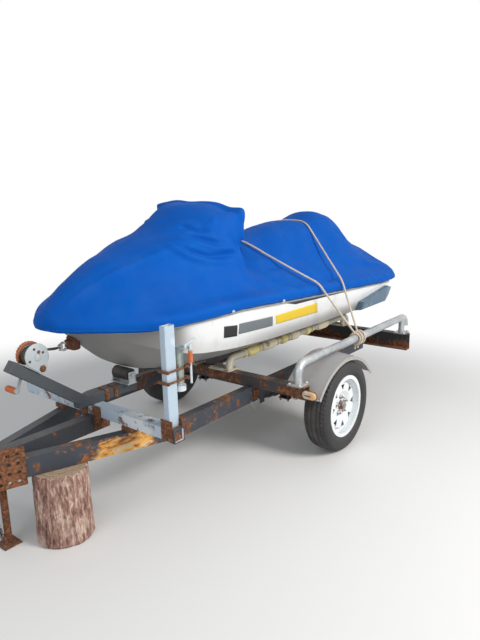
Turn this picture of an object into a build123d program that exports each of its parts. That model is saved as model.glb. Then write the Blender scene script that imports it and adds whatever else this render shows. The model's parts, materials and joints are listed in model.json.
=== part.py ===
from build123d import *
from math import atan2, cos, degrees, hypot, pi, radians, sin, sqrt, tan
import os

# Covered personal watercraft lashed down on its single-axle launching trailer.
# Millimetres. X runs forward to the bow and the coupler, Y to port, Z up from the floor.
# The origin lies on the floor under the middle of the whole length.

# Reach of the whole thing either side of the axle
coupler_reach = 2130
stern_reach = 1320
axle_x = (stern_reach - coupler_reach) / 2

# Clearances
seat_gap = 0.3
running_gap = 0.3
rotor_gap = 5.0

# Wheels
tyre_radius = 270
tyre_width = 155
tyre_wall = 9
tread_crown = 7
rim_radius = 183
rim_width = 127
bead_radius = 165
well_radius = 147
rim_wall = 4
flange_width = 6.5
wheel_y = 696
disc_offset = 20
disc_bulge = 16
disc_holes = 8
disc_hole_ring = 116
disc_window = 25
stud_ring = 50
stud_radius = 6

# Axle, hubs and springs
axle_beam_radius = 25
spindle_radius = 15
hub_radius = 38
hub_flange_radius = 64
hub_flange = 8
hub_length = 74
cap_radius = 24
cap_length = 32
spring_y = 345
spring_leaf = 7
spring_leaves = 3
spring_width = 44
spring_half = 300
spring_sag = 12
u_bolt_radius = 5
clamp_plate = 6
spring_room = 17

# Frame steel
rail_width = 50
rail_height = 90
rail_bend_x = 980
arm_tip_y = 69.2998
coupler_length = 350
arm_end_x = coupler_reach - coupler_length
bracket_length = 132
bracket_plate = 8
cross_width = 60
cross_height = 60
cross_half = 710
steel_wall = 5
front_cross_x = 358
rear_cross_x = -1040
rear_cross_height = 120
beam_width = 60
beam_height = 80
beam_tail_x = 1130
bar_size = 58
bar_half = 578
bar_x = 1185
bar_lift = 23

# Bunks and guides: bent tubes that stand on the crossmembers
guide_y = 655
guide_radius = 24
fender_gap = 1.5
bunk_y = 175
bunk_radius = 21
bunk_lift = 67
tube_bend = 62
tail_bend = 48
tail_drop = 66
plate_size = 90
plate_thick = 8
roller_radius = 33
roller_bore_gap = 0.3

# Fenders
fender_radius = 391
fender_flare = 18
fender_clearance = 21
fender_inboard = 156
fender_outboard = 69
fender_inner_y = wheel_y - fender_inboard
fender_outer_y = wheel_y + fender_outboard
fender_sheet = 3
fender_lip = 16
fender_start = 36

# Side post with its jack
post_y = 535
post_thick = 32
post_length = 454
jack_radius = 20
jack_bore = 15
jack_lift = 186
jack_length = 155
foot_radius = 27

# Winch stand, winch and keel roller
stand_size = 52
stand_tail_x = 935
stand_knee_x = 1275
mast_angle = 37
mast_length = 440
winch_setback = 88
winch_radius = 52
drum_width = 60
crank_reach = 64
crank_drop = 158
keel_roller_x = 1000
keel_roller_radius = 32
keel_roller_width = 110

# Bow eye on the stem
eye_foot_x = 1323
eye_stand = 18
eye_radius = 22
eye_hole = 13
eye_wire = 10

# Supports at the tongue
leg_setback = 80
leg_x = arm_end_x - leg_setback
leg_radius = 16
log_setback = 200
log_x = leg_x - log_setback
log_inset = 7.8371
log_radius = 130

# Tie ropes over the cover, down to the guide tubes
rope_radius = 6.5
rear_rope_x = -567
knot_length = 27

# Watercraft
deadrise = 20
hull_tail = -1250
hull_nose = 1380
split_stern_rise = 323
split_knee_x = 600
split_knee_rise = 418
split_nose_rise = 397
hem_tuck = 25
hem_rise = 40
tunnel_front = -850
tunnel_half = 115
tunnel_roof = 190
intake_front = -600
intake_half = 62
intake_depth = 70
pump_radius = 78
pump_wall = 8
nozzle_pivot = -1165
nozzle_radius = 60
nozzle_exit = 44
nozzle_length = 115
nozzle_wall = 5

# Heights worked out from what stands on what
axle_z = tyre_radius
rail_bottom = axle_z + axle_beam_radius + spring_leaves * spring_leaf + spring_room
rail_top = rail_bottom + rail_height
cross_top = rail_top + cross_height
bar_bottom = rail_top + bar_lift
bar_top = bar_bottom + bar_size
fender_z = axle_z + tyre_radius + fender_clearance - fender_radius
flare_share = (fender_outer_y - guide_y + guide_radius) / (fender_outer_y - fender_inner_y)
guide_z = fender_z + fender_radius + fender_flare * flare_share + fender_gap + guide_radius
bunk_z = cross_top + bunk_lift
roller_reach = roller_radius + seat_gap
keel_z = bunk_z + roller_reach / cos(radians(deadrise)) - bunk_y * tan(radians(deadrise))
pump_z = keel_z + tunnel_half - 15
split_stern = keel_z + split_stern_rise
split_knee = keel_z + split_knee_rise
split_nose = keel_z + split_nose_rise
post_top = bar_top + post_length
jack_bottom = bar_top + jack_lift
jack_top = jack_bottom + jack_length
rail_outer_y = spring_y + rail_width / 2
rail_inner_y = spring_y - rail_width / 2

os.makedirs("parts", exist_ok=True)


def write(builder, label):
    """Name a finished piece and write it."""
    builder.part.label = label
    export_step(builder.part, f"parts/{label}.step")


def write_pair(builder, label):
    """Write a port piece and its mirror image to starboard."""
    write(builder, f"{label}_left")
    with BuildPart() as twin:
        mirror(builder.part, about=Plane.XZ)
    write(twin, f"{label}_right")


def side_plane(y):
    """Upright plane facing starboard, local axes X and Z of the frame."""
    return Plane.XZ.offset(-y)


def at(from_axle):
    """Place along the frame of a point measured forward of the axle."""
    return axle_x + from_axle


def box(x_from, x_to, y_from, y_to, z_from, z_to, mode=Mode.ADD):
    """Upright block between two corners."""
    middle = ((x_from + x_to) / 2, (y_from + y_to) / 2, (z_from + z_to) / 2)
    with Locations(middle):
        Box(abs(x_to - x_from), abs(y_to - y_from), abs(z_to - z_from), mode=mode)


def rod(start, end, radius, mode=Mode.ADD):
    """Round bar from one point to another."""
    along = Vector(*end) - Vector(*start)
    with BuildSketch(Plane(origin=start, z_dir=along)) as section:
        Circle(radius)
    extrude(section.sketch, amount=along.length, mode=mode)


def split_height(from_axle):
    """Height of the joint between hull and cover."""
    if from_axle < split_knee_x:
        share = (from_axle + stern_reach) / (split_knee_x + stern_reach)
        return split_stern + share * (split_knee - split_stern)
    share = (from_axle - split_knee_x) / (hull_nose - split_knee_x)
    return split_knee + share * (split_nose - split_knee)


# Hull stations: forward of the axle, keel height above the flat keel, chine half width,
# chine height above the flat keel, sheer half width
hull_stations = [
    (hull_tail, 0, 405, 150, 455),
    (-700, 0, 412, 152, 476),
    (-100, 0, 412, 158, 480),
    (400, 2, 410, 172, 480),
    (700, 38, 402, 194, 470),
    (900, 82, 375, 222, 446),
    (1050, 135, 322, 268, 410),
    (1180, 202, 250, 312, 345),
    (1290, 288, 150, 350, 245),
    (hull_nose, 358, 40, 370, 70),
]

def keel_height(from_axle):
    """Height of the keel line."""
    for (x_aft, low, *_), (x_fore, high, *_) in zip(hull_stations, hull_stations[1:]):
        if from_axle <= x_fore:
            return keel_z + low + (high - low) * (from_axle - x_aft) / (x_fore - x_aft)
    return keel_z + hull_stations[-1][1]


def keel_slope(from_axle):
    """Rise of the keel line per unit of length."""
    step = 1
    return (keel_height(from_axle + step) - keel_height(from_axle - step)) / (2 * step)


# Wheels: pressed steel rim, tyre and hub, built to port and mirrored
wheel_axis = Axis((at(0), 0, axle_z), (0, 1, 0))
wheel_plane = Plane(origin=(at(0), 0, axle_z), x_dir=(0, 1, 0), z_dir=(1, 0, 0))
rim_edge = rim_width / 2
bead_edge = rim_edge - flange_width

with BuildPart() as tyre:
    with BuildSketch(wheel_plane):
        with BuildLine():
            half_tread = tyre_width / 2 - 16
            half_wide = tyre_width / 2
            bead_out = bead_edge - seat_gap
            foot = bead_radius + seat_gap
            Polyline(
                (wheel_y - half_tread, tyre_radius - tread_crown),
                (wheel_y, tyre_radius),
                (wheel_y + half_tread, tyre_radius - tread_crown),
                (wheel_y + half_wide, tyre_radius - 45),
                (wheel_y + half_wide - 4, rim_radius + 12),
                (wheel_y + bead_out, rim_radius + 3),
                (wheel_y + bead_out, foot),
                (wheel_y + bead_out - 14, foot),
                (wheel_y + half_wide - tyre_wall, tyre_radius - 52),
                (wheel_y + half_tread - 6, tyre_radius - tread_crown - tyre_wall),
                (wheel_y - half_tread + 6, tyre_radius - tread_crown - tyre_wall),
                (wheel_y - half_wide + tyre_wall, tyre_radius - 52),
                (wheel_y - bead_out + 14, foot),
                (wheel_y - bead_out, foot),
                (wheel_y - bead_out, rim_radius + 3),
                (wheel_y - half_wide + 4, rim_radius + 12),
                (wheel_y - half_wide, tyre_radius - 45),
                close=True,
            )
        make_face()
    revolve(axis=wheel_axis)
write_pair(tyre, "tyre")

disc_back = wheel_y + disc_offset
with BuildPart() as rim:
    with BuildSketch(wheel_plane):
        with BuildLine():
            barrel = bead_radius - rim_wall
            Polyline(
                (wheel_y + rim_edge, rim_radius),
                (wheel_y + bead_edge, rim_radius),
                (wheel_y + bead_edge, bead_radius),
                (wheel_y + 30, bead_radius - 2),
                (wheel_y + 20, well_radius),
                (wheel_y - 20, well_radius),
                (wheel_y - 34, bead_radius - 2),
                (wheel_y - bead_edge, bead_radius),
                (wheel_y - bead_edge, rim_radius),
                (wheel_y - rim_edge, rim_radius),
                (wheel_y - rim_edge, barrel),
                (wheel_y - 32, barrel - 2),
                (wheel_y - 18, well_radius - rim_wall),
                (wheel_y + 18, well_radius - rim_wall),
                (wheel_y + 28, barrel - 2),
                (wheel_y + rim_edge, barrel),
                close=True,
            )
        make_face()
    revolve(axis=wheel_axis)
    with BuildSketch(wheel_plane):
        with BuildLine():
            Polyline(
                (disc_back, cap_radius + 4),
                (disc_back, hub_flange_radius + 4),
                (disc_back + disc_bulge, hub_flange_radius + 26),
                (disc_back + disc_bulge, disc_hole_ring + 14),
                (wheel_y + 8, well_radius - rim_wall + 1),
                (wheel_y + 14, well_radius - rim_wall + 1),
                (disc_back + disc_bulge + rim_wall, disc_hole_ring + 16),
                (disc_back + disc_bulge + rim_wall, hub_flange_radius + 24),
                (disc_back + rim_wall, hub_flange_radius + 2),
                (disc_back + rim_wall, cap_radius + 4),
                close=True,
            )
        make_face()
    revolve(axis=wheel_axis)
    with BuildSketch(Plane(origin=(at(0), wheel_y, axle_z), x_dir=(1, 0, 0), z_dir=(0, 1, 0))):
        with PolarLocations(disc_hole_ring, disc_holes):
            RegularPolygon(disc_window, 3, rotation=180)
    extrude(amount=rim_width / 2, mode=Mode.SUBTRACT)
write_pair(rim, "rim")

hub_front = disc_back
with BuildPart() as hub:
    with BuildSketch(side_plane(hub_front)):
        with Locations((at(0), axle_z)):
            Circle(hub_flange_radius)
    extrude(amount=hub_flange)
    with BuildSketch(side_plane(hub_front)):
        with Locations((at(0), axle_z)):
            Circle(hub_radius)
    extrude(amount=hub_length)
    with BuildSketch(side_plane(hub_front + cap_length)):
        with Locations((at(0), axle_z)):
            Circle(cap_radius)
    extrude(amount=cap_length)
    with BuildSketch(side_plane(hub_front + cap_length - 4)):
        with Locations((at(0), axle_z)):
            Circle(spindle_radius + running_gap)
    extrude(amount=cap_length + hub_length, mode=Mode.SUBTRACT)
    cap_edge = hub.edges().filter_by(GeomType.CIRCLE).sort_by(Axis.Y)[-1]
    fillet(cap_edge, 5)
write_pair(hub, "hub")

# Dead axle with its spindles, spring pads and clamp bolts
spindle_end = hub_front + cap_length - 10
beam_half = hub_front - hub_length - running_gap - 4
clamp_x = axle_beam_radius + u_bolt_radius + 1
clamp_y = spring_width / 2 + u_bolt_radius + 1
clamp_rise = (clamp_x + 9) ** 2 * spring_sag / spring_half ** 2
clamp_top = rail_bottom - spring_room + clamp_rise + seat_gap
with BuildPart() as axle:
    with BuildSketch(side_plane(beam_half)):
        with Locations((at(0), axle_z)):
            Circle(axle_beam_radius)
    extrude(amount=2 * beam_half)
    with BuildSketch(side_plane(spindle_end)):
        with Locations((at(0), axle_z)):
            Circle(spindle_radius)
    extrude(amount=2 * spindle_end)
    for side in (1, -1):
        for height in (axle_z - axle_beam_radius - clamp_plate, clamp_top):
            box(at(-clamp_x - 9), at(clamp_x + 9), side * spring_y - clamp_y - 9,
                side * spring_y + clamp_y + 9, height, height + clamp_plate)
        bolt_foot = axle_z - axle_beam_radius - clamp_plate - 14
        for bolt_x in (-clamp_x, clamp_x):
            for bolt_y in (-clamp_y, clamp_y):
                rod((at(bolt_x), side * spring_y + bolt_y, bolt_foot),
                    (at(bolt_x), side * spring_y + bolt_y, clamp_top + clamp_plate + 3), u_bolt_radius)
write(axle, "axle")

# Leaf springs: concentric leaves, the longest on top, with eyes at its two ends
spring_radius = (spring_half ** 2 + spring_sag ** 2) / (2 * spring_sag)
spring_floor = axle_z + axle_beam_radius
spring_centre_z = spring_floor + spring_radius
with BuildPart() as springs:
    for side in (1, -1):
        for leaf in range(spring_leaves):
            outer = spring_radius - leaf * spring_leaf
            reach = degrees(spring_half * (0.55 + 0.225 * leaf) / outer)
            with BuildSketch(side_plane(side * spring_y + spring_width / 2)):
                with BuildLine():
                    hub_point = (at(0), spring_centre_z)
                    low = CenterArc(hub_point, outer, 270 - reach, 2 * reach)
                    high = CenterArc(hub_point, outer - spring_leaf, 270 - reach, 2 * reach)
                    Line(low @ 0, high @ 0)
                    Line(low @ 1, high @ 1)
                make_face()
            extrude(amount=spring_width)
write(springs, "leaf_springs")
main_leaf = spring_radius - spring_leaves * spring_leaf
tip_angle = spring_half / (main_leaf + spring_leaf)
tip_x = main_leaf * sin(tip_angle)
tip_z = spring_centre_z - main_leaf * cos(tip_angle)

# Side rails: straight under the craft, then drawn in to the tongue
arm_angle = degrees(atan2(rail_outer_y - arm_tip_y, arm_end_x - rail_bend_x))
arm_slope = tan(radians(arm_angle))
arm_shift = rail_width / cos(radians(arm_angle))
miter = rail_width * tan(radians(arm_angle / 2))
beam_side = beam_width / 2
arm_meets = rail_bend_x - miter + (rail_inner_y - beam_side) / arm_slope
rail_tail_x = rear_cross_x + cross_width / 2
with BuildPart() as rail:
    with BuildSketch(Plane.XY.offset(rail_bottom)):
        with BuildLine():
            Polyline(
                (at(rail_tail_x), rail_outer_y),
                (at(rail_bend_x), rail_outer_y),
                (at(arm_end_x), arm_tip_y),
                (at(arm_end_x), beam_side),
                (at(arm_meets), beam_side),
                (at(rail_bend_x - miter), rail_inner_y),
                (at(rail_tail_x), rail_inner_y),
                close=True,
            )
        make_face()
    extrude(amount=rail_height)
    for end in (-1, 1):
        box(at(end * tip_x - 22), at(end * tip_x + 22), spring_y - spring_width / 2,
            spring_y + spring_width / 2, tip_z + seat_gap, rail_bottom)
        for cheek in (-1, 1):
            inner = spring_y + cheek * (spring_width / 2 + seat_gap)
            box(at(end * tip_x - 22), at(end * tip_x + 22), inner, inner + cheek * 3,
                tip_z - 26, rail_bottom)
write_pair(rail, "rail")

# Crossmembers: the front one a box, the rear one a deep channel open to the front
with BuildPart() as front_cross:
    box(at(front_cross_x - cross_width / 2), at(front_cross_x + cross_width / 2),
        -cross_half, cross_half, rail_top, cross_top)
    box(at(front_cross_x - cross_width / 2 + steel_wall), at(front_cross_x + cross_width / 2 - steel_wall),
        -cross_half, cross_half, rail_top - 1, cross_top - steel_wall, mode=Mode.SUBTRACT)
write(front_cross, "front_crossmember")

rear_bottom = cross_top - rear_cross_height
with BuildPart() as rear_cross:
    box(at(rear_cross_x - cross_width / 2), at(rear_cross_x + cross_width / 2),
        -cross_half, cross_half, rear_bottom, cross_top)
    box(at(rear_cross_x - cross_width / 2 + steel_wall), at(rear_cross_x + cross_width / 2 + 1),
        -cross_half, cross_half, rear_bottom + steel_wall, cross_top - steel_wall, mode=Mode.SUBTRACT)
    for side in (1, -1):
        box(at(rail_tail_x - cross_width + steel_wall), at(rail_tail_x),
            side * (spring_y - rail_width / 2), side * (spring_y + rail_width / 2),
            rear_bottom + steel_wall, rail_top)
write(rear_cross, "rear_crossmember")

# Centre beam, coupler bracket and coupler
beam_top = bar_bottom
with BuildPart() as beam:
    box(at(beam_tail_x), at(arm_end_x), -beam_side, beam_side, beam_top - beam_height, beam_top)
write(beam, "centre_beam")

bracket_x = arm_end_x - bracket_length
bracket_low = rail_bottom - 26
bracket_high = rail_top + 58
outward = bracket_plate / cos(radians(arm_angle))
plate_y = rail_outer_y - (bracket_x - rail_bend_x) * arm_slope
with BuildPart() as bracket:
    for side in (1, -1):
        with BuildSketch(Plane.XY.offset(bracket_low)):
            with BuildLine():
                Polyline(
                    (at(bracket_x), side * plate_y),
                    (at(bracket_x), side * (plate_y + outward)),
                    (at(arm_end_x + bracket_plate), side * (arm_tip_y + outward)),
                    (at(arm_end_x + bracket_plate), 0),
                    (at(arm_end_x), 0),
                    (at(arm_end_x), side * arm_tip_y),
                    close=True,
                )
            make_face()
        extrude(amount=bracket_high - bracket_low)
    with BuildSketch(side_plane(plate_y + 40)):
        hole_step = 36
        for column in range(3):
            for row in range(4):
                with Locations((at(bracket_x + 28 + column * hole_step), bracket_low + 24 + row * 40)):
                    Circle(8)
    extrude(amount=2 * plate_y + 80, mode=Mode.SUBTRACT)
write(bracket, "coupler_bracket")

coupler_start = arm_end_x + bracket_plate
coupler_z = rail_top - 25
socket_radius = 26
socket_x = coupler_reach - 42
with BuildPart() as coupler:
    with BuildSketch(Plane.YZ.offset(at(coupler_start))):
        with Locations((0, coupler_z)):
            Rectangle(76, 64)
    with BuildSketch(Plane.YZ.offset(at(socket_x - 60))):
        with Locations((0, coupler_z + 4)):
            Rectangle(60, 56)
    loft(ruled=True)
    with BuildSketch(Plane.XY.offset(coupler_z - 24)):
        with Locations((at(socket_x), 0)):
            Circle(42)
        with Locations((at(socket_x - 45), 0)):
            Rectangle(90, 60)
    extrude(amount=56)
    with BuildSketch(Plane.XY.offset(coupler_z - 24)):
        with Locations((at(socket_x), 0)):
            Circle(socket_radius)
    extrude(amount=42, mode=Mode.SUBTRACT)
    rod((at(socket_x - 120), 0, coupler_z + 30), (at(socket_x - 60), 0, coupler_z + 62), 9)
write(coupler, "coupler")

# Bow crossbar on its saddles, side post and clamps
with BuildPart() as crossbar:
    box(at(bar_x - bar_size / 2), at(bar_x + bar_size / 2), -bar_half, bar_half, bar_bottom, bar_top)
write(crossbar, "bow_crossbar")

saddle_y = rail_outer_y - (bar_x - rail_bend_x) * arm_slope - arm_shift / 2
with BuildPart() as saddles:
    for side in (1, -1):
        box(at(bar_x - bar_size / 2 - 6), at(bar_x + bar_size / 2 + 6), side * saddle_y - 36,
            side * saddle_y + 36, rail_top, bar_bottom)
write(saddles, "bar_saddles")

with BuildPart() as post:
    box(at(bar_x - bar_size / 2), at(bar_x + bar_size / 2), post_y - post_thick / 2,
        post_y + post_thick / 2, bar_top, post_top)
write(post, "side_post")

post_back = bar_x - bar_size / 2
jack_x = post_back - foot_radius - rotor_gap
bolt_y = jack_radius + u_bolt_radius + seat_gap
band = 5
with BuildPart() as clamps:
    for face in (-1, 1):
        edge = bar_x + face * bar_size / 2
        box(at(edge), at(edge + face * band), post_y - 34, post_y + 34, bar_bottom + 4, bar_top + 40)
    for height in (jack_bottom + 22, jack_bottom + 72):
        for side in (-1, 1):
            rod((at(bar_x + bar_size / 2 + band), post_y + side * bolt_y, height),
                (at(jack_x - jack_radius - band), post_y + side * bolt_y, height), u_bolt_radius)
        box(at(bar_x + bar_size / 2), at(bar_x + bar_size / 2 + 2 * band), post_y - bolt_y - 8,
            post_y + bolt_y + 8, height - 6, height + 6)
        box(at(jack_x - jack_radius - 2 * band), at(jack_x - jack_radius - seat_gap),
            post_y - bolt_y - 8, post_y + bolt_y + 8, height - 6, height + 6)
        box(at(jack_x + jack_radius), at(post_back), post_y - post_thick / 2, post_y + post_thick / 2,
            height - 14, height + 14)
write(clamps, "post_clamps")

# Jack on the post: tube with a cap, crank, and a sliding leg with a cup foot
with BuildPart() as jack:
    rod((at(jack_x), post_y, jack_bottom), (at(jack_x), post_y, jack_top), jack_radius)
    rod((at(jack_x), post_y, jack_bottom - 1), (at(jack_x), post_y, jack_top - 12), jack_bore,
        mode=Mode.SUBTRACT)
    box(at(jack_x - 28), at(jack_x + 18), post_y - 24, post_y + 50, jack_top, jack_top + 8)
write(jack, "jack_tube")

leg_reach = jack_top - 16
with BuildPart() as jack_leg:
    rod((at(jack_x), post_y, jack_bottom - 14), (at(jack_x), post_y, leg_reach),
        jack_bore - running_gap)
    rod((at(jack_x), post_y, jack_bottom - 34), (at(jack_x), post_y, jack_bottom - 10), foot_radius)
    rod((at(jack_x), post_y, jack_bottom - 35), (at(jack_x), post_y, jack_bottom - 18),
        foot_radius - 4, mode=Mode.SUBTRACT)
write(jack_leg, "jack_leg")

crank_y = post_y + 42
with BuildPart() as crank:
    rod((at(jack_x), crank_y, jack_top + 8), (at(jack_x), crank_y, jack_top + 24), 6)
    rod((at(jack_x), crank_y, jack_top + 18), (at(jack_x - 40), crank_y + 22, jack_top + 44), 5)
    rod((at(jack_x - 14), crank_y + 16, jack_top - 2), (at(jack_x - 14), crank_y + 16, jack_top - 60), 8)
    rod((at(jack_x - 14), crank_y + 16, jack_top + 26), (at(jack_x - 14), crank_y + 16, jack_top - 150), 5)
write(crank, "jack_crank")


def bent_tube(y, radius, centre_z, bend, drop):
    """Tube that rises from the front crossmember, runs aft and turns down past the rear one."""
    front = at(front_cross_x)
    tail = at(rear_cross_x - cross_width / 2 - 30)
    with BuildLine() as route:
        FilletPolyline(
            (front, y, cross_top + plate_thick / 2),
            (front, y, centre_z),
            (tail, y, centre_z),
            (tail, y, centre_z - drop),
            radius=bend,
        )
    with BuildSketch(Plane(origin=route.line @ 0, z_dir=route.line % 0)) as section:
        Circle(radius)
    sweep(section.sketch, path=route.line)


def foot_plates(y, across, inward):
    """Base plates on the two crossmembers."""
    for cross_x in (front_cross_x, rear_cross_x):
        box(at(cross_x - plate_size / 2), at(cross_x + plate_size / 2), y - across / 2 - inward,
            y + across / 2, cross_top, cross_top + plate_thick)


# Guide tubes beside the fenders
with BuildPart() as guide:
    bent_tube(guide_y, guide_radius, guide_z, tube_bend, tail_drop)
    foot_plates(guide_y, 84, 0)
    rod((at(rear_cross_x), guide_y, cross_top), (at(rear_cross_x), guide_y, guide_z), guide_radius - 3)
write_pair(guide, "guide_tube")

# Bunk tubes with their rollers
with BuildPart() as bunk:
    bent_tube(bunk_y, bunk_radius, bunk_z, tail_bend, tail_drop)
    foot_plates(bunk_y, 64, 90)
    rod((at(rear_cross_x), bunk_y, cross_top), (at(rear_cross_x), bunk_y, bunk_z), bunk_radius - 3)
write_pair(bunk, "bunk_tube")

# Rollers: centre forward of the axle, length
bunk_rollers = [(135, 108), (-40, 146), (-205, 60), (-335, 100), (-500, 50), (-715, 148)]
with BuildPart() as rollers:
    for side in (1, -1):
        for centre, length in bunk_rollers:
            tail, nose = at(centre - length / 2), at(centre + length / 2)
            rod((tail, side * bunk_y, bunk_z), (nose, side * bunk_y, bunk_z), roller_radius)
            rod((tail - 1, side * bunk_y, bunk_z), (nose + 1, side * bunk_y, bunk_z),
                bunk_radius + roller_bore_gap, mode=Mode.SUBTRACT)
write(rollers, "bunk_rollers")

# Fenders: rolled sheet, a little wider towards the craft, with a turned lip and two stays
fender_sweep = 180 - 2 * fender_start
fender_axis = Axis((at(0), 0, fender_z), (0, 1, 0))
start_angle = radians(fender_start)
start_dir = (cos(start_angle), 0, sin(start_angle))
with BuildPart() as fender:
    section = Plane(origin=(at(0), 0, fender_z), x_dir=(0, 1, 0),
                    z_dir=(-sin(start_angle), 0, cos(start_angle)))
    flip = 1 if section.y_dir.X > 0 else -1
    with BuildSketch(section):
        with BuildLine():
            inner_r = fender_radius + fender_flare
            Polyline(
                (fender_inner_y, flip * inner_r),
                (fender_outer_y, flip * fender_radius),
                (fender_outer_y, flip * (fender_radius - fender_lip)),
                (fender_outer_y - fender_sheet, flip * (fender_radius - fender_lip)),
                (fender_outer_y - fender_sheet, flip * (fender_radius - fender_sheet)),
                (fender_inner_y, flip * (inner_r - fender_sheet)),
                close=True,
            )
        make_face()
    revolve(axis=fender_axis, revolution_arc=-fender_sweep)
    for end in (-1, 1):
        stay_x = end * (inner_r - fender_sheet) * cos(start_angle)
        stay_z = fender_z + (inner_r - fender_sheet) * sin(start_angle)
        box(at(stay_x - 18), at(stay_x + 18), rail_outer_y, fender_inner_y + 12,
            stay_z - 4, stay_z + 2)
write_pair(fender, "fender")

# Marker lamps on the ends of the front crossmember
lamp_z = rail_top + cross_height / 2 + 30
with BuildPart() as lamps:
    for side in (1, -1):
        with BuildSketch(Plane.YZ.offset(at(front_cross_x + cross_width / 2))):
            with Locations((side * (cross_half + 40), lamp_z - 30)):
                SlotOverall(92, 46)
        extrude(amount=24)
        box(at(front_cross_x + cross_width / 2), at(front_cross_x + cross_width / 2 + 4),
            side * (cross_half - 40), side * (cross_half + 40), lamp_z - 42, lamp_z - 18)
write(lamps, "marker_lamps")

# Winch stand: level tube on the crossbar, leaning mast
stand_z = bar_top + stand_size / 2
mast_dir = (cos(radians(mast_angle)), 0, sin(radians(mast_angle)))
with BuildPart() as stand:
    box(at(stand_tail_x), at(stand_knee_x + 20), -stand_size / 2, stand_size / 2,
        bar_top, bar_top + stand_size)
    mast_plane = Plane(origin=(at(stand_knee_x - 20), 0, stand_z), x_dir=(0, 1, 0), z_dir=mast_dir)
    with BuildSketch(mast_plane):
        Rectangle(stand_size, stand_size)
    extrude(amount=mast_length)
    box(at(stand_tail_x), at(stand_knee_x + 70), -60, 60, bar_top - 40, bar_top + 12, mode=Mode.SUBTRACT)
    box(at(stand_tail_x), at(stand_knee_x + 20), -stand_size / 2, stand_size / 2,
        bar_top, bar_top + stand_size)
write(stand, "winch_stand")

mast_top = mast_plane.origin + Vector(*mast_dir) * (mast_length - winch_setback)
winch_up = Vector(-mast_dir[2], 0, mast_dir[0])
winch_centre = mast_top + winch_up * (stand_size / 2 + 58)
mast_way = Vector(*mast_dir)
base_low = mast_top + winch_up * (stand_size / 2)
with BuildPart() as winch:
    with BuildSketch(side_plane(drum_width / 2 + 4)):
        with BuildLine():
            corners = (base_low - mast_way * 42, base_low + mast_way * 42)
            Polyline(
                *[(corner.X, corner.Z) for corner in corners],
                *[(corner.X, corner.Z) for corner in (corners[1] + winch_up * 5, corners[0] + winch_up * 5)],
                close=True,
            )
        make_face()
    extrude(amount=drum_width + 8)
    for y in (drum_width / 2, -drum_width / 2 - 4):
        with BuildSketch(Plane(origin=(winch_centre.X, y, winch_centre.Z), z_dir=(0, 1, 0))):
            Circle(winch_radius)
        extrude(amount=4)
        with BuildSketch(side_plane(y + 4)):
            with BuildLine():
                Polyline(
                    (base_low.X - 34, base_low.Z - 34 * tan(radians(mast_angle))),
                    (base_low.X + 34, base_low.Z + 34 * tan(radians(mast_angle))),
                    (winch_centre.X + 30, winch_centre.Z),
                    (winch_centre.X - 30, winch_centre.Z),
                    close=True,
                )
            make_face()
        extrude(amount=4)
    rod((winch_centre.X, -drum_width / 2 - 14, winch_centre.Z),
        (winch_centre.X, drum_width / 2 + 10, winch_centre.Z), 10)
    rod((winch_centre.X, -drum_width / 2, winch_centre.Z),
        (winch_centre.X, drum_width / 2, winch_centre.Z), 30)
    rod((winch_centre.X, -drum_width / 2 - 24, winch_centre.Z),
        (winch_centre.X, -drum_width / 2 - 4, winch_centre.Z), winch_radius - 4)
    crank_tip = (winch_centre.X + crank_reach, -drum_width / 2 - 30, winch_centre.Z - crank_drop)
    crank_long = hypot(crank_reach, crank_drop)
    crank_turn = degrees(atan2(-crank_drop, crank_reach))
    rod((winch_centre.X, -drum_width / 2 - 38, winch_centre.Z),
        (winch_centre.X, -drum_width / 2 - 20, winch_centre.Z), 9)
    with BuildSketch(side_plane(crank_tip[1])):
        with Locations(((winch_centre.X + crank_tip[0]) / 2, (winch_centre.Z + crank_tip[2]) / 2)):
            SlotOverall(crank_long + 16, 16, rotation=crank_turn)
    extrude(amount=6)
    rod(crank_tip, (crank_tip[0], crank_tip[1] - 90, crank_tip[2]), 12)
write(winch, "winch")

# Keel roller on its fork at the tail of the stand
keel_lean = hypot(1, keel_slope(keel_roller_x))
roller_z = keel_height(keel_roller_x) - (keel_roller_radius + seat_gap) * keel_lean
with BuildPart() as fork:
    box(at(keel_roller_x - 30), at(keel_roller_x + 30), -keel_roller_width / 2 - 11,
        keel_roller_width / 2 + 11, bar_top + stand_size, bar_top + stand_size + 6)
    for side in (1, -1):
        inner = side * (keel_roller_width / 2 + 5)
        box(at(keel_roller_x - 22), at(keel_roller_x + 22), inner, inner + side * 6,
            bar_top + stand_size, roller_z + 16)
    rod((at(keel_roller_x), -keel_roller_width / 2 - 18, roller_z),
        (at(keel_roller_x), keel_roller_width / 2 + 18, roller_z), 8)
write(fork, "keel_roller_fork")

with BuildPart() as keel_roller:
    rod((at(keel_roller_x), -keel_roller_width / 2, roller_z),
        (at(keel_roller_x), keel_roller_width / 2, roller_z), keel_roller_radius)
    rod((at(keel_roller_x), -keel_roller_width / 2 - 1, roller_z),
        (at(keel_roller_x), keel_roller_width / 2 + 1, roller_z), 8 + running_gap, mode=Mode.SUBTRACT)
write(keel_roller, "keel_roller")

# Log under the port arm and the prop leg of the bracket
log_y = rail_outer_y - (log_x - rail_bend_x) * arm_slope - arm_shift / 2 - log_inset
with BuildPart() as log:
    with BuildSketch(Plane.XY):
        with Locations((at(log_x), log_y)):
            Circle(log_radius)
    extrude(amount=rail_bottom)
write(log, "log")

with BuildPart() as prop:
    with BuildSketch(Plane.XY):
        with Locations((at(leg_x), 0)):
            Circle(leg_radius)
    extrude(amount=beam_top - beam_height)
    with BuildSketch(Plane.XY):
        with Locations((at(leg_x), 0)):
            Rectangle(80, 80)
    extrude(amount=6)
write(prop, "prop_leg")

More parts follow.
